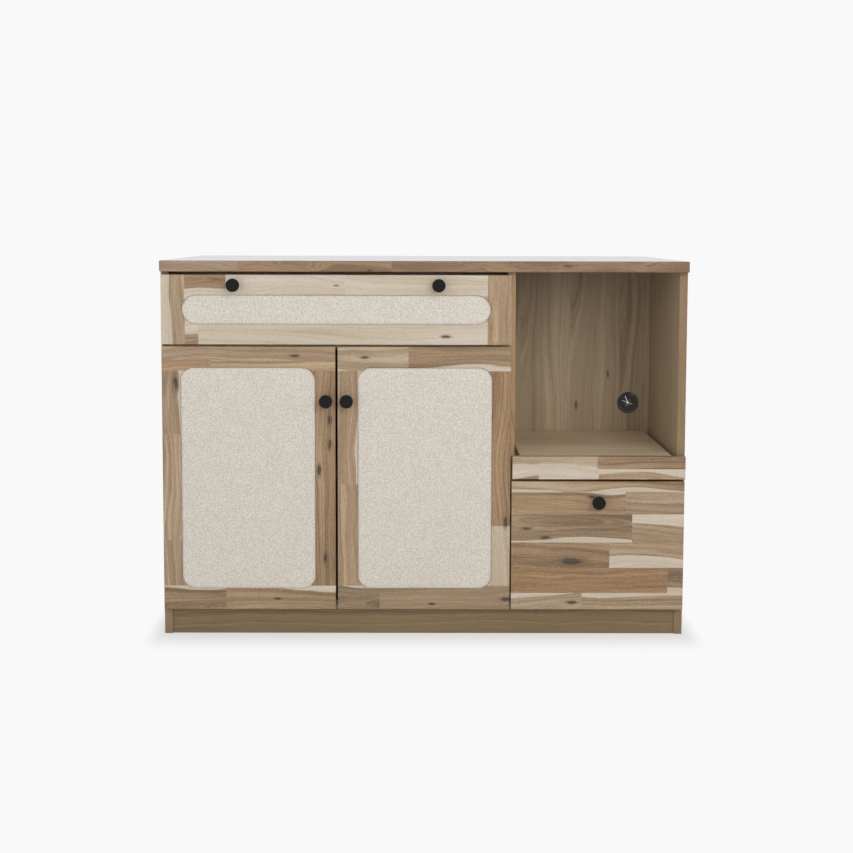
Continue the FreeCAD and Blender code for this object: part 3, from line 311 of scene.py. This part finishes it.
def worktop_staves(f):
    """Rows of staves, each row shifted by its own amount; the front row is the photograph's."""
    row = f.calc("FLOOR", f.over(f.calc("MAXIMUM", f.plus(f.y, -FACE_Y), 0.0001), ROW))
    start = f.draw(f.plus(row, 0.37))
    length = f.plus(0.26, f.times(f.draw(f.plus(row, 8.37)), 0.16))
    stave = f.calc("FLOOR", f.plus(f.over(f.plus(f.x, OFFSET), length), start))
    seed = {"Vector": f.spot(f.plus(row, 0.5), f.plus(stave, 0.5), 0.0)}
    dice = f.add("ShaderNodeTexWhiteNoise", seed, noise_dimensions="2D")
    luck = dice.outputs["Value"]
    red, green, blue = f.parts(dice.outputs["Color"])
    tone = f.step(red, 0.0, 1.0, 0.18, 0.78, smooth=False)
    side = f.step(green, 0.499, 0.501, -1.0, 1.0, smooth=False)
    # the sapwood edge lies from just outside the stave to its middle
    middle = f.plus(f.times(f.plus(row, 0.5), ROW), OFFSET + FACE_Y)
    edge = f.plus(middle, f.times(side, f.step(blue, 0.0, 1.0, -0.004, 0.075, smooth=False)))
    front = f.calc("LESS_THAN", f.y, FRONT_ROW)
    stops = [((place + OFFSET) / TOP_LENGTH, (shade, number, 0, 1)) for place, shade, number in worktop_front]
    own_tone, own_luck, _, _ = f.ramp(f.over(f.plus(f.x, OFFSET), TOP_LENGTH), stops)
    tone, luck = f.between(front, tone, own_tone), f.between(front, luck, own_luck)
    edge, side = f.between(front, edge, 0.47), f.between(front, side, 1.0)  # no sapwood in it
    return tone, edge, side, luck, 0.0


worktop_knots = [(-0.124, 0.334, 0.0035), (0.324, 0.3225, 0.0045), (-0.31, 0.55, 0.012), (0.22, 0.74, 0.010)]
lacquered = acacia("lacquered_acacia", worktop_staves, worktop_knots, flat=True)
lacquered.coat(1.0, 0.12)
lacquered.put_on("worktop")


# Wide drawer front: two stiles and two rails of 12 mm acacia, butted and glued, with a window
# with half-round ends cut through. The padded panel sits in the window on its backing board.
# The front is screwed to the drawer box from inside.
LEVEL, UPRIGHT = False, True
NONE, THIN = 3.0, 8.0  # sap edges far outside the stave: all heartwood; THIN does it for thin strips


def stave_plan(*zones):
    """zones: (x from, x to, z from, z to, upright, [(start, tone, sap edge, sap side, number)]).
    The sap edge is a share of the stave's width, from its lower or left edge."""
    def plan(f):
        shown = None
        for x0, x1, z0, z1, upright, staves in zones:
            run, low, high = (f.z, z0, z1) if upright else (f.x, x0, x1)
            base, width = (x0 + OFFSET, x1 - x0) if upright else (z0, z1 - z0)
            stops = []
            for start, shade, sap, way, number in staves:
                place = min(max((start - low) / (high - low), 0.0), 1.0)
                # a ramp holds no value below nought, so the tone is kept with one added
                stops.append((place, (shade + 1.0, base + width * sap, 1.0 if way > 0 else 0.0, number)))
            own = (*f.ramp(f.over(f.less(run, low), high - low), stops), 1.0 if upright else 0.0)
            if shown is None:
                shown = own
                continue
            inside = f.times(f.times(f.calc("GREATER_THAN", f.x, x0), f.calc("LESS_THAN", f.x, x1)),
                             f.times(f.calc("GREATER_THAN", f.z, z0), f.calc("LESS_THAN", f.z, z1)))
            shown = tuple(f.between(inside, old, new) for old, new in zip(shown, own))
        tone, edge, side, luck, stands = shown
        return f.less(tone, 1.0), edge, f.less(f.times(side, 2.0), 1.0), luck, stands
    return plan


acacia("acacia_wide_drawer", stave_plan(
    (-0.60, 0.20, 0.780, 0.835, LEVEL, [
        (-0.60, 0.65, 0.22, -1, 0.213), (-0.450, 0.1, 0.0, 1, 0.475), (-0.180, 0.1, 0.0, 1, 0.665)]),
    (-0.60, 0.20, 0.670, 0.728, LEVEL, [
        (-0.60, 0.5, 0.60, 1, 0.315), (-0.515, -0.43, NONE, 1, 0.837), (-0.085, 0.1, -0.3, 1, 0.115)]),
    (-0.60, -0.5432, 0.670, 0.835, UPRIGHT, [(0.670, 0.42, 0.40, -1, 0.715)]),
    (0.1435, 0.20, 0.670, 0.835, UPRIGHT, [(0.670, 0.37, 0.92, 1, 0.524)]),
), [(-0.200, 0.809, 0.0022), (0.049, 0.694, 0.0045)]).put_on("wide_drawer_frame")


# Doors: a frame of 12 mm acacia with a window with rounded corners, its rails running through
# and its stiles between them. The pad and its backing board close the window from behind.
# Two hinge cups are pressed into the backing board at the outer stile.
acacia("acacia_left_door", stave_plan(
    (-0.60, -0.20, 0.610, 0.672, LEVEL, [(-0.60, 0.33, NONE, 1, 0.235)]),
    (-0.60, -0.20, 0.6149, 0.640, LEVEL, [(-0.60, 0.40, THIN, 1, 0.232), (-0.487, 0.28, THIN, 1, 0.623)]),
    (-0.60, -0.20, 0.060, 0.1181, LEVEL, [(-0.60, 0.66, 0.92, 1, 0.424), (-0.456, 0.56, 0.86, 1, 0.774)]),
    (-0.60, -0.40, 0.1181, 0.6149, UPRIGHT, [
        (0.1181, 0.40, NONE, 1, 0.155), (0.223, 0.33, NONE, 1, 0.565), (0.469, 0.55, 0.205, 1, 0.345)]),
    (-0.40, -0.20, 0.1181, 0.6149, UPRIGHT, [(0.1181, 0.62, NONE, 1, 0.913)]),
), [
    (-0.295, 0.649, 0.0045), (0.586, 0.034, 0.008), (0.5035, 0.3845, 0.006), (0.446, 0.3845, 0.006),
    (0.387, 0.360, 0.006), (0.1847, 0.3743, 0.006), (-0.336, 0.0875, 0.0035),
]).put_on("left_door_frame")
acacia("acacia_right_door", stave_plan(
    (-0.20, 0.20, 0.610, 0.672, LEVEL, [(-0.20, 0.17, 0.05, -1, 0.286), (-0.037, 0.66, 0.22, -1, 0.644)]),
    (-0.20, 0.20, 0.060, 0.1181, LEVEL, [(-0.20, 0.78, 0.94, 1, 0.377), (-0.103, 0.66, 0.94, 1, 0.855)]),
    (-0.20, 0.0, 0.1181, 0.6149, UPRIGHT, [(0.1181, 0.40, NONE, 1, 0.194), (0.354, 0.40, 0.225, 1, 0.725)]),
    (0.0, 0.20, 0.1181, 0.6149, UPRIGHT, [(0.1181, -0.28, NONE, 1, 0.446), (0.257, 0.66, NONE, 1, 0.332)]),
), [
    (-0.136, 0.646, 0.004), (0.269, 0.787, 0.006), (0.019, 0.076, 0.0035), (0.191, 0.087, 0.006),
]).put_on("right_door_frame")


# Lower drawer front and the pull-out shelf's fascia: 18 mm boards of level acacia staves,
# finger-jointed end to end, planed and oiled, each screwed on from behind.
acacia("acacia_lower_drawer", stave_plan(
    (0.20, 0.60, 0.060, 0.1017, LEVEL, [(0.20, 0.27, 0.80, 1, 0.296), (0.364, 0.33, 0.86, 1, 0.615)]),
    (0.20, 0.60, 0.1017, 0.161, LEVEL, [(0.20, 0.67, NONE, 1, 0.361), (0.5607, 0.66, 0.22, -1, 0.938)]),
    (0.20, 0.60, 0.161, 0.220, LEVEL, [(0.20, 0.64, NONE, 1, 0.123), (0.4254, 0.36, 0.20, -1, 0.695)]),
    (0.20, 0.60, 0.220, 0.2857, LEVEL, [(0.20, 0.76, 0.20, -1, 0.485), (0.4767, 0.42, 0.68, 1, 0.945)]),
    (0.20, 0.60, 0.2857, 0.3378, LEVEL, [(0.20, 0.48, 0.95, 1, 0.753), (0.462, 0.46, NONE, 1, 0.176)]),
    (0.20, 0.60, 0.3378, 0.365, LEVEL, [(0.20, 0.36, 0.18, -1, 0.545), (0.384, 0.64, 0.0, -1, 0.393)]),
), [
    (0.3393, 0.1754, 0.0125), (0.2368, 0.2524, 0.005), (0.278, 0.2316, 0.005), (0.3414, 0.0797, 0.005),
    (0.385, 0.326, 0.004),
]).put_on("lower_drawer_front")
acacia("acacia_fascia", stave_plan(
    (0.20, 0.60, 0.360, 0.3905, LEVEL, [
        (0.20, 0.5, 0.36, 1, 0.885), (0.262, 0.3, 0.12, 1, 0.185), (0.400, 0.38, 0.44, 1, 0.415)]),
    (0.20, 0.60, 0.3905, 0.422, LEVEL, [(0.20, 0.16, 0.14, -1, 0.576), (0.3965, 0.73, NONE, 1, 0.224)]),
)).put_on("pull_out_fascia")


# Pull-out shelf: an 18 mm oak-print board behind the fascia with a cleat under each side.
# The cleats are screwed to the moving members of the slides.
# the shelf's tones are much paler than oak_tones: painted light and painted reflection on its top
shelf_tones_painted_light = paint(235, 216, 189), paint(210, 188, 159), paint(171, 149, 119)
shelf_print = oak_print("oak_print_shelf", "x", "y", "z", shelf_tones_painted_light, 2.6, 0.13)
shelf_print.coat(0.3, 0.25)
shelf_print.put_on("pull_out_shelf")
oak_print("oak_print_cleats", "y", "z", "x", oak_tones, 4.4, 0.1).put_on("pull_out_cleats")


# Drawer boxes and backing boards: 12 mm sides, backs and inner fronts, thin bottoms in grooves.
# Pale beech-print board, plain and matt, with a fine short fleck.
beech_tones = paint(214, 199, 176), paint(203, 186, 160), paint(183, 162, 134)
for name, run, cross, face, shift, ends in (
        ("beech_print_sides", "y", "z", "x", 6.1, ("drawer_left_side", "drawer_right_side")),
        ("beech_print_cross", "x", "z", "y", 9.4,
         ("drawer_back", "drawer_inner_front", "drawer_bottom", "_backing"))):
    box_print = oak_print(name, run, cross, face, beech_tones, shift, 0.21)
    box_print.put_on(*[node for node in board if node.endswith(ends)])


# Padded panels: foam under off-white boucle cloth, wrapped over a thin board and set in each window.
# They swell a little in the middle and pull in where the cloth turns under the frame.
# Each is swollen as cloth from a flat slab, and the loops of the yarn are in its finish.
def boucle():
    f = Finish("boucle_cloth")
    tangle = 0.0032  # how far a loop is pushed aside
    drift = f.add("ShaderNodeTexNoise", {"Vector": f.place, "Scale": 230.0, "Detail": 1.0}).outputs["Color"]
    pushed = {0: drift, 1: (tangle, tangle, tangle), 2: f.place}
    swirl = f.add("ShaderNodeVectorMath", pushed, operation="MULTIPLY_ADD").outputs[0]
    loops = f.add("ShaderNodeTexVoronoi", {"Vector": swirl, "Scale": 250.0, "Randomness": 0.62}, feature="F1")
    curls = f.add("ShaderNodeTexVoronoi", {"Vector": swirl, "Scale": 470.0}, feature="F1")
    loop = f.step(loops.outputs["Distance"], 0.72, 0.08)
    curl = f.step(curls.outputs["Distance"], 0.75, 0.05)
    fuzz = f.noise(f.place, 2600.0, 3.0, 0.7)
    height = f.plus(f.times(loop, 0.40), f.plus(f.times(curl, 0.46), f.times(fuzz, 0.20)))
    # the cloth is painted darker where the loops lie low: painted shade in the hollows between the loops
    colour = f.tint(f.step(height, 0.14, 0.62), paint(197, 189, 178), paint(226, 220, 211))
    each = f.parts(loops.outputs["Color"])[0]
    colour = f.tint(f.times(each, 0.08), colour, paint(214, 207, 197))
    f.look(colour, f.step(fuzz, 0.2, 0.8, 0.86, 0.98), 0.2)
    f.skin.inputs["Sheen Weight"].default_value = 0.2
    f.skin.inputs["Sheen Roughness"].default_value = 0.5
    f.relief(height, 0.0010, 0.6)
    return f.material


def pick(piece):
    bpy.ops.object.select_all(action="DESELECT")
    piece.select_set(True)
    bpy.context.view_layer.objects.active = piece


def pad_slab(name, size, back, thick):
    """A slab with round corners, standing in the window with its back on the backing board."""
    x0, x1, z0, z1, corner = size
    bpy.ops.object.select_all(action="DESELECT")
    bpy.ops.mesh.primitive_plane_add(size=1.0, location=((x0 + x1) / 2, back, (z0 + z1) / 2),
                                     rotation=(math.pi / 2, 0, 0))
    pad = bpy.context.object
    pad.name = name
    pad.scale = (x1 - x0, z1 - z0, 1.0)
    bpy.ops.object.transform_apply(location=True, rotation=True, scale=True)
    bpy.ops.object.mode_set(mode="EDIT")
    bpy.ops.mesh.select_all(action="SELECT")
    bpy.ops.mesh.bevel(offset=corner, offset_type="OFFSET", segments=14, affect="VERTICES",
                       clamp_overlap=False)
    bpy.ops.mesh.remove_doubles(threshold=0.00001)
    bpy.ops.mesh.select_all(action="SELECT")
    bpy.ops.mesh.extrude_region_move(TRANSFORM_OT_translate={"value": (0.0, -thick, 0.0)})
    bpy.ops.mesh.select_all(action="SELECT")
    bpy.ops.mesh.normals_make_consistent(inside=False)
    bpy.ops.object.mode_set(mode="OBJECT")
    return pad


def within(x, z, room, near=0.0):
    """How far a point lies inside a window with round corners, and its place inside the walls.
    A point nearer to a wall than near lies on it."""
    x0, x1, z0, z1, corner = room
    cx, cz = min(max(x, x0 + corner), x1 - corner), min(max(z, z0 + corner), z1 - corner)
    off = math.hypot(x - cx, z - cz)
    if off > corner - near:
        return 0.0, cx + (x - cx) * corner / off, cz + (z - cz) * corner / off
    if off > 0.0:
        return corner - off, x, z
    return min(x - x0, x1 - x, z - z0, z1 - z), x, z


PAD_BACK, PAD_FACE = -0.276, -0.2842  # the pad's back on the backing board, and its face at the wall
VOXEL, STUFFING, FRAMES = 0.0034, 3.0, 14  # the mesh's size, the pressure inside, how long it swells
TURN_WIDTH, TURN_DEPTH = 0.004, 0.0004  # the cloth turns in over the last 4 mm and lies 0.4 mm lower
LIE_SIZE, LIE_DEPTH = 0.045, 0.0007  # the slow unevenness of the cloth
TURNS_FROM, SPARE = 0.004, 0.0006  # the turn starts this far off the back; spare beyond the full swell
NEAR_WALL, EDGE_FROM, EDGE_DEPTH = 0.0011, 0.0018, 0.0005  # for the last pass, over the front edge


def swell(pad, room, full):
    """The slab is remeshed and blown up as cloth by full at most. The window's walls hold its sides."""
    tight = pad.modifiers.new("even_mesh", "REMESH")
    tight.mode, tight.voxel_size = "VOXEL", VOXEL
    pick(pad)
    bpy.ops.object.modifier_apply(modifier=tight.name)
    start = [v.co.copy() for v in pad.data.vertices]
    cloth = pad.modifiers.new("stuffing", "CLOTH")
    cloth.settings.quality = 5
    cloth.settings.use_pressure = True
    cloth.settings.uniform_pressure_force = STUFFING
    cloth.settings.effector_weights.gravity = 0.0
    cloth.point_cache.frame_start, cloth.point_cache.frame_end = 1, FRAMES + 2
    for n in range(1, FRAMES + 1):
        bpy.context.scene.frame_set(n)
    bpy.ops.object.modifier_apply(modifier=cloth.name)
    bpy.context.scene.frame_set(1)
    most = max(max(rest.y - v.co.y for v, rest in zip(pad.data.vertices, start)), 1e-6)
    for v, rest in zip(pad.data.vertices, start):
        rise = (rest.y - v.co.y) * min(full / most, 1.0)
        inside, x, z = within(rest.x, rest.z, room)
        turn = 0.0
        if rest.y < PAD_BACK - TURNS_FROM:
            turn = TURN_DEPTH * (1.0 - min(inside / TURN_WIDTH, 1.0)) ** 2
        v.co = (x, max(min(rest.y - rise + turn, PAD_BACK), PAD_FACE - full - SPARE), z)
    lumps = bpy.data.textures.new(pad.name + "_lie", "CLOUDS")
    lumps.noise_scale, lumps.noise_depth = LIE_SIZE, 1
    smooth = pad.modifiers.new("drape", "SUBSURF")
    smooth.levels = smooth.render_levels = 1
    lie = pad.modifiers.new("lie", "DISPLACE")
    lie.texture, lie.strength, lie.mid_level, lie.texture_coords = lumps, LIE_DEPTH, 0.5, "LOCAL"
    for name in ("drape", "lie"):
        bpy.ops.object.modifier_apply(modifier=name)
    for v in pad.data.vertices:
        inside, v.co.x, v.co.z = within(v.co.x, v.co.z, room, NEAR_WALL)
        # the subdivision rounds the front edge off; it goes back up to the wall
        at_edge = inside == 0.0 and v.co.y < PAD_FACE + EDGE_FROM
        v.co.y = min(v.co.y, PAD_FACE + EDGE_DEPTH if at_edge else PAD_BACK)
    bpy.ops.object.shade_smooth()
    pad.data.materials.clear()
    pad.data.materials.append(cloth_finish)


# windows and the slabs put into them: (x from, x to, z from, z to, corner), a slab 1.3 mm larger all round
cloth_finish = boucle()
door_room, door_slab = (-0.5549, -0.2485, 0.1111, 0.6219, 0.0299), (-0.5562, -0.2472, 0.1098, 0.6232, 0.0312)
wide_room, wide_slab = (-0.5509, 0.1511, 0.7211, 0.7869, 0.0329), (-0.5522, 0.1524, 0.7198, 0.7882, 0.03415)
DOOR_MIRROR = -0.39975  # the sum of x on the left door and x on the right one
door_pad = pad_slab("left_door_padded_panel", door_slab, PAD_BACK, PAD_BACK - PAD_FACE)
swell(door_pad, door_room, 0.0014)
wide_pad = pad_slab("wide_drawer_padded_panel", wide_slab, PAD_BACK, PAD_BACK - PAD_FACE)
swell(wide_pad, wide_room, 0.0012)
right_pad = door_pad.copy()
right_pad.data = door_pad.data.copy()
right_pad.name = "right_door_padded_panel"
bpy.context.scene.collection.objects.link(right_pad)
for v in right_pad.data.vertices:
    v.co.x = DOOR_MIRROR - v.co.x
right_pad.data.flip_normals()
right_pad.data.update()
for pad, node, body in ((door_pad, "left_door_fabric_pad", "left_door"),
                        (right_pad, "right_door_fabric_pad", "right_door"),
                        (wide_pad, "wide_drawer_fabric_pad", "wide_drawer")):
    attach(pad, body)
    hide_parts(node)


# Knobs: round turned knobs, 30 mm across on a 16 mm neck, screwed on from inside the front.
# Turned metal with its rim broken, under a matt black powder coat with a fine orange-peel skin.
coat = Finish("black_powder_coat")
peel = coat.noise(coat.place, 1500.0, 3.0, 0.6)
worn = coat.noise(coat.place, 90.0, 3.0, 0.6)
coat.look(coat.tint(coat.step(worn, 0.3, 0.75), paint(15, 16, 17), paint(22, 22, 22)),
          coat.step(worn, 0.3, 0.7, 0.55, 0.7), 0.25)
coat.relief(peel, 0.0002, 0.5)


def facing(part, test):
    """Selects the faces, in edit mode, that a test of their normal picks."""
    bpy.ops.object.mode_set(mode="OBJECT")
    for item in list(part.data.vertices) + list(part.data.edges) + list(part.data.polygons):
        item.select = False
    for side in part.data.polygons:
        side.select = test(side.normal)
    bpy.ops.object.mode_set(mode="EDIT")


def turned_knob(name, x, z):
    reach, head = 0.024, 0.009  # how far the knob stands out, and the thickness of its head
    radius, neck = 0.015, 0.008
    beside, under = 0.002, 0.0016  # rings of edges close to the corner between head and neck
    bpy.ops.object.select_all(action="DESELECT")
    bpy.ops.mesh.primitive_cylinder_add(vertices=96, radius=radius, depth=head, rotation=(math.pi / 2, 0, 0),
                                        location=(x, FACE_Y - reach + head / 2, z))
    knob = bpy.context.object
    knob.name = name
    bpy.ops.object.transform_apply(location=True, rotation=True, scale=True)
    bpy.ops.object.mode_set(mode="EDIT")
    bpy.ops.mesh.select_mode(type="FACE")
    facing(knob, lambda normal: normal.y > 0.9)
    bpy.ops.mesh.inset(thickness=radius - neck - beside)
    bpy.ops.mesh.inset(thickness=beside)
    bpy.ops.mesh.extrude_region_move(TRANSFORM_OT_translate={"value": (0.0, under, 0.0)})
    bpy.ops.mesh.extrude_region_move(TRANSFORM_OT_translate={"value": (0.0, reach - head - under, 0.0)})
    facing(knob, lambda normal: normal.y < -0.9)
    bpy.ops.mesh.inset(thickness=0.0022)
    bpy.ops.mesh.select_all(action="SELECT")
    bpy.ops.mesh.normals_make_consistent(inside=False)
    bpy.ops.object.mode_set(mode="OBJECT")
    broken = knob.modifiers.new("broken_rim", "BEVEL")
    broken.width, broken.segments = 0.0014, 5
    broken.limit_method, broken.angle_limit = "ANGLE", math.radians(50)
    bpy.ops.object.modifier_apply(modifier=broken.name)
    bpy.ops.object.shade_smooth_by_angle(angle=math.radians(40))
    knob.data.materials.append(coat.material)
    return knob


for node, body in (("wide_drawer_left_knob", "wide_drawer"), ("wide_drawer_right_knob", "wide_drawer"),
                   ("left_door_knob", "left_door"), ("right_door_knob", "right_door"),
                   ("lower_drawer_knob", "lower_drawer")):
    corners = [v.co for v in board[node].data.vertices]
    middle = [(min(c[k] for c in corners) + max(c[k] for c in corners)) / 2 for k in (0, 2)]
    knob = turned_knob(node + "_turned", *middle)
    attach(knob, body)
    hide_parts(node)


# Cable outlet: a black plastic ring pressed into the niche's back, round a rubber disc
# slit into flaps that a plug pushes through.
def moulded(name, red, green, blue, rough, grip):
    f = Finish(name)
    mottle = f.noise(f.place, 240.0, 3.0, 0.6)
    skin = f.noise(f.place, 3200.0, 2.0, 0.5)
    colour = f.tint(f.step(mottle, 0.3, 0.7), paint(red, green, blue), paint(red + 10, green + 10, blue + 9))
    f.look(colour, f.step(mottle, 0.3, 0.7, rough, rough + 0.12))
    f.relief(skin, 0.0001, grip)
    return f


def cut_out(part, tool, name):
    """Takes the tool's shape out of the part, and the tool away."""
    cut = part.modifiers.new(name, "BOOLEAN")
    cut.operation, cut.object = "DIFFERENCE", tool
    pick(part)
    bpy.ops.object.modifier_apply(modifier=cut.name)
    bpy.data.objects.remove(tool)


moulded("outlet_plastic", 60, 60, 58, 0.42, 0.4).put_on("outlet_ring")
rubber = moulded("outlet_rubber", 56, 57, 56, 0.6, 0.6)
OUTLET_X, OUTLET_Y, OUTLET_Z = 0.5285, 0.1126, 0.492
DISC_RADIUS, DISC_THICK, HOLE_RADIUS, THROUGH = 0.0228, 0.0012, 0.0016, 0.004
bpy.ops.object.select_all(action="DESELECT")
bpy.ops.mesh.primitive_cylinder_add(vertices=96, radius=DISC_RADIUS, depth=DISC_THICK,
                                    rotation=(math.pi / 2, 0, 0), location=(OUTLET_X, OUTLET_Y, OUTLET_Z))
flaps = bpy.context.object
flaps.name = "slit_flaps"
bpy.ops.object.transform_apply(location=True, rotation=True, scale=True)
# each slit has opened by its own amount: (turn in degrees, length, width)
for turn_by, length, width in (
        (112, 0.0192, 0.0009), (158, 0.0150, 0.0006), (203, 0.0110, 0.0003), (246, 0.0120, 0.0005),
        (292, 0.0105, 0.0003), (338, 0.0125, 0.0006), (24, 0.0095, 0.0003), (67, 0.0100, 0.0004)):
    way = math.radians(turn_by)
    bpy.ops.mesh.primitive_cube_add(size=1.0, rotation=(0, -way, 0), location=(
        OUTLET_X + math.cos(way) * length / 2, OUTLET_Y, OUTLET_Z + math.sin(way) * length / 2))
    blade = bpy.context.object
    blade.scale = (length, THROUGH, width)
    cut_out(flaps, blade, "slit")
bpy.ops.mesh.primitive_cylinder_add(vertices=32, radius=HOLE_RADIUS, depth=THROUGH,
                                    rotation=(math.pi / 2, 0, 0), location=(OUTLET_X, OUTLET_Y, OUTLET_Z))
cut_out(flaps, bpy.context.object, "hole")
flaps.data.materials.append(rubber.material)
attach(flaps, "carcass")
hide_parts("outlet_flaps")


# Steel fittings: slides, cam fittings and shelf pins in bright zinc, hinges in nickel.
# Rolled and pressed steel, with the draw lines of the rolling along the slides.
def steel(name, red, green, blue, rough, lines):
    f = Finish(name)
    f.skin.inputs["Metallic"].default_value = 1.0
    draw = f.noise(f.spot(f.times(f.x, 900.0), f.times(f.y, lines), f.times(f.z, 900.0)), 1.0, 3.0, 0.6)
    bloom = f.noise(f.place, 60.0, 3.0, 0.6)
    colour = f.tint(f.step(bloom, 0.3, 0.7), paint(red, green, blue), paint(red - 16, green - 14, blue - 10))
    f.look(colour, f.step(draw, 0.25, 0.75, rough, rough + 0.16))
    f.relief(draw, 0.00006, 0.5)
    return f


steel("bright_zinc", 198, 202, 206, 0.28, 9.0).put_on(
    *[node for node in board if "_slides_" in node], "cam_bolts", "cam_locks", "shelf_pins")
steel("nickel", 205, 202, 196, 0.20, 300.0).put_on(*[node for node in board if "_hinge_" in node])


# Photographer's set: a pale floor that runs out of sight, a white room, one large soft lamp
# high on the right in front with a weaker one on the left, and the camera at the photograph's place.
WHITE = (0.947, 0.947, 0.947, 1.0)  # the photograph's background
FLOOR_SIZE, FLOOR_DROP = 60.0, 0.0006  # the floor lies just under the feet of the boards
bpy.ops.object.select_all(action="DESELECT")
bpy.ops.mesh.primitive_grid_add(x_subdivisions=8, y_subdivisions=8, size=FLOOR_SIZE,
                                location=(0, 0, -FLOOR_DROP))
floor = bpy.context.object
floor.name = "floor"
f = Finish("pale_floor")
f.look(f.tint(f.noise(f.place, 3.0, 3.0), (0.80, 0.80, 0.80, 1), (0.83, 0.83, 0.83, 1)), 0.9, 0.1)
glow = f.add("ShaderNodeEmission", {"Color": WHITE, "Strength": 1.0})
# the camera sees the floor white, and the shadow thins out over fade metres from the cabinet's foot
half_wide, middle_y, half_deep, fade = 0.6, -0.066, 0.198, 0.15
aside = f.times(f.calc("MAXIMUM", f.less(f.calc("ABSOLUTE", f.x), half_wide), 0.0), 3.0)
ahead = f.calc("MAXIMUM", f.less(f.calc("ABSOLUTE", f.plus(f.y, -middle_y)), half_deep), 0.0)
seen = f.add("ShaderNodeLightPath").outputs["Is Camera Ray"]
share = f.times(seen, f.step(f.length(aside, ahead), 0.0, fade, 0.55, 1.0))
both = f.add("ShaderNodeMixShader", {0: share, 1: f.skin.outputs[0], 2: glow.outputs[0]})
f.feed(f.out.inputs["Surface"], both.outputs[0])
floor.data.materials.append(f.material)

room = bpy.data.worlds.new("white_room")
bpy.context.scene.world = room
room.use_nodes = True
nodes, links = room.node_tree.nodes, room.node_tree.links
nodes.clear()


def backdrop(colour, strength):
    shade = nodes.new("ShaderNodeBackground")
    shade.inputs["Color"].default_value = colour
    shade.inputs["Strength"].default_value = strength
    return shade.outputs[0]


def either(share, first, second):
    mix = nodes.new("ShaderNodeMixShader")
    for socket, source in zip(mix.inputs, (share, first, second)):
        links.new(source, socket)
    return mix.outputs[0]


# what lights the object, what a satin board mirrors, a little greyer and bluer, and what is seen behind
path = nodes.new("ShaderNodeLightPath").outputs
lighting, mirrored = backdrop((0.98, 0.99, 1.0, 1.0), 0.50), backdrop((0.88, 0.89, 0.94, 1.0), 1.0)
lit = either(path["Is Glossy Ray"], lighting, mirrored)
behind = nodes.new("ShaderNodeMath")
behind.operation = "MAXIMUM"
links.new(path["Is Camera Ray"], behind.inputs[0])
links.new(path["Is Transmission Ray"], behind.inputs[1])
ends = nodes.new("ShaderNodeOutputWorld")
links.new(either(behind.outputs[0], lit, backdrop(WHITE, 1.0)), ends.inputs["Surface"])

LIT_SPOT = Vector((0, -0.28, 0.45))  # the lamps look at the middle of the fronts
for name, size, power, stand in (("soft_lamp", 2.4, 66.0, (1.3, -3.7, 2.1)),
                                 ("fill_lamp", 3.0, 36.0, (-2.4, -3.8, 1.3))):
    lamp = bpy.data.lights.new(name, "AREA")
    lamp.shape, lamp.size, lamp.size_y, lamp.energy = "RECTANGLE", size, size, power
    lamp.color = (1.0, 0.985, 0.965)
    lamp_stand = bpy.data.objects.new(name, lamp)
    bpy.context.scene.collection.objects.link(lamp_stand)
    lamp_stand.location = stand
    # the room is what a satin board mirrors, not the lamps
    lamp_stand.visible_glossy = False
    lamp_stand.rotation_euler = (LIT_SPOT - lamp_stand.location).to_track_quat("-Z", "Y").to_euler()

# the photograph is 853 pixels square; the lens is 1326.8 pixels long and sits 3 m from the fronts
side, film = 853.0, 36.0
lens_pixels, centre_across, centre_down = 1326.783, 419.18, 334.875
fronts_mm, away_mm, across_mm, height_mm = -288.0, 3000.0, -22.025, 934.324
turn, nod, roll = math.radians(0.195), math.radians(4.51), math.radians(0.14)
forward = Vector((math.sin(turn) * math.cos(nod), math.cos(turn) * math.cos(nod), -math.sin(nod)))
right = Vector((math.cos(turn), -math.sin(turn), 0.0))
upward = right.cross(forward)
right, upward = (math.cos(roll) * right + math.sin(roll) * upward,
                 -math.sin(roll) * right + math.cos(roll) * upward)
eye_glass = bpy.data.cameras.new("camera")
eye_glass.sensor_fit, eye_glass.sensor_width, eye_glass.sensor_height = "HORIZONTAL", film, film
eye_glass.lens = lens_pixels / side * film
eye_glass.shift_x = (side / 2 - centre_across) / side
eye_glass.shift_y = (centre_down - side / 2) / side
camera = bpy.data.objects.new("camera", eye_glass)
bpy.context.scene.collection.objects.link(camera)
turned = camera.matrix_world.copy()
for row in range(3):
    turned[row][0], turned[row][1], turned[row][2] = right[row], upward[row], -forward[row]
turned[0][3], turned[1][3] = across_mm / 1000, (fronts_mm - away_mm) / 1000
turned[2][3] = height_mm / 1000
camera.matrix_world = turned
bpy.context.scene.camera = camera
bpy.context.scene.view_settings.view_transform = "Standard"

bpy.context.view_layer.update()
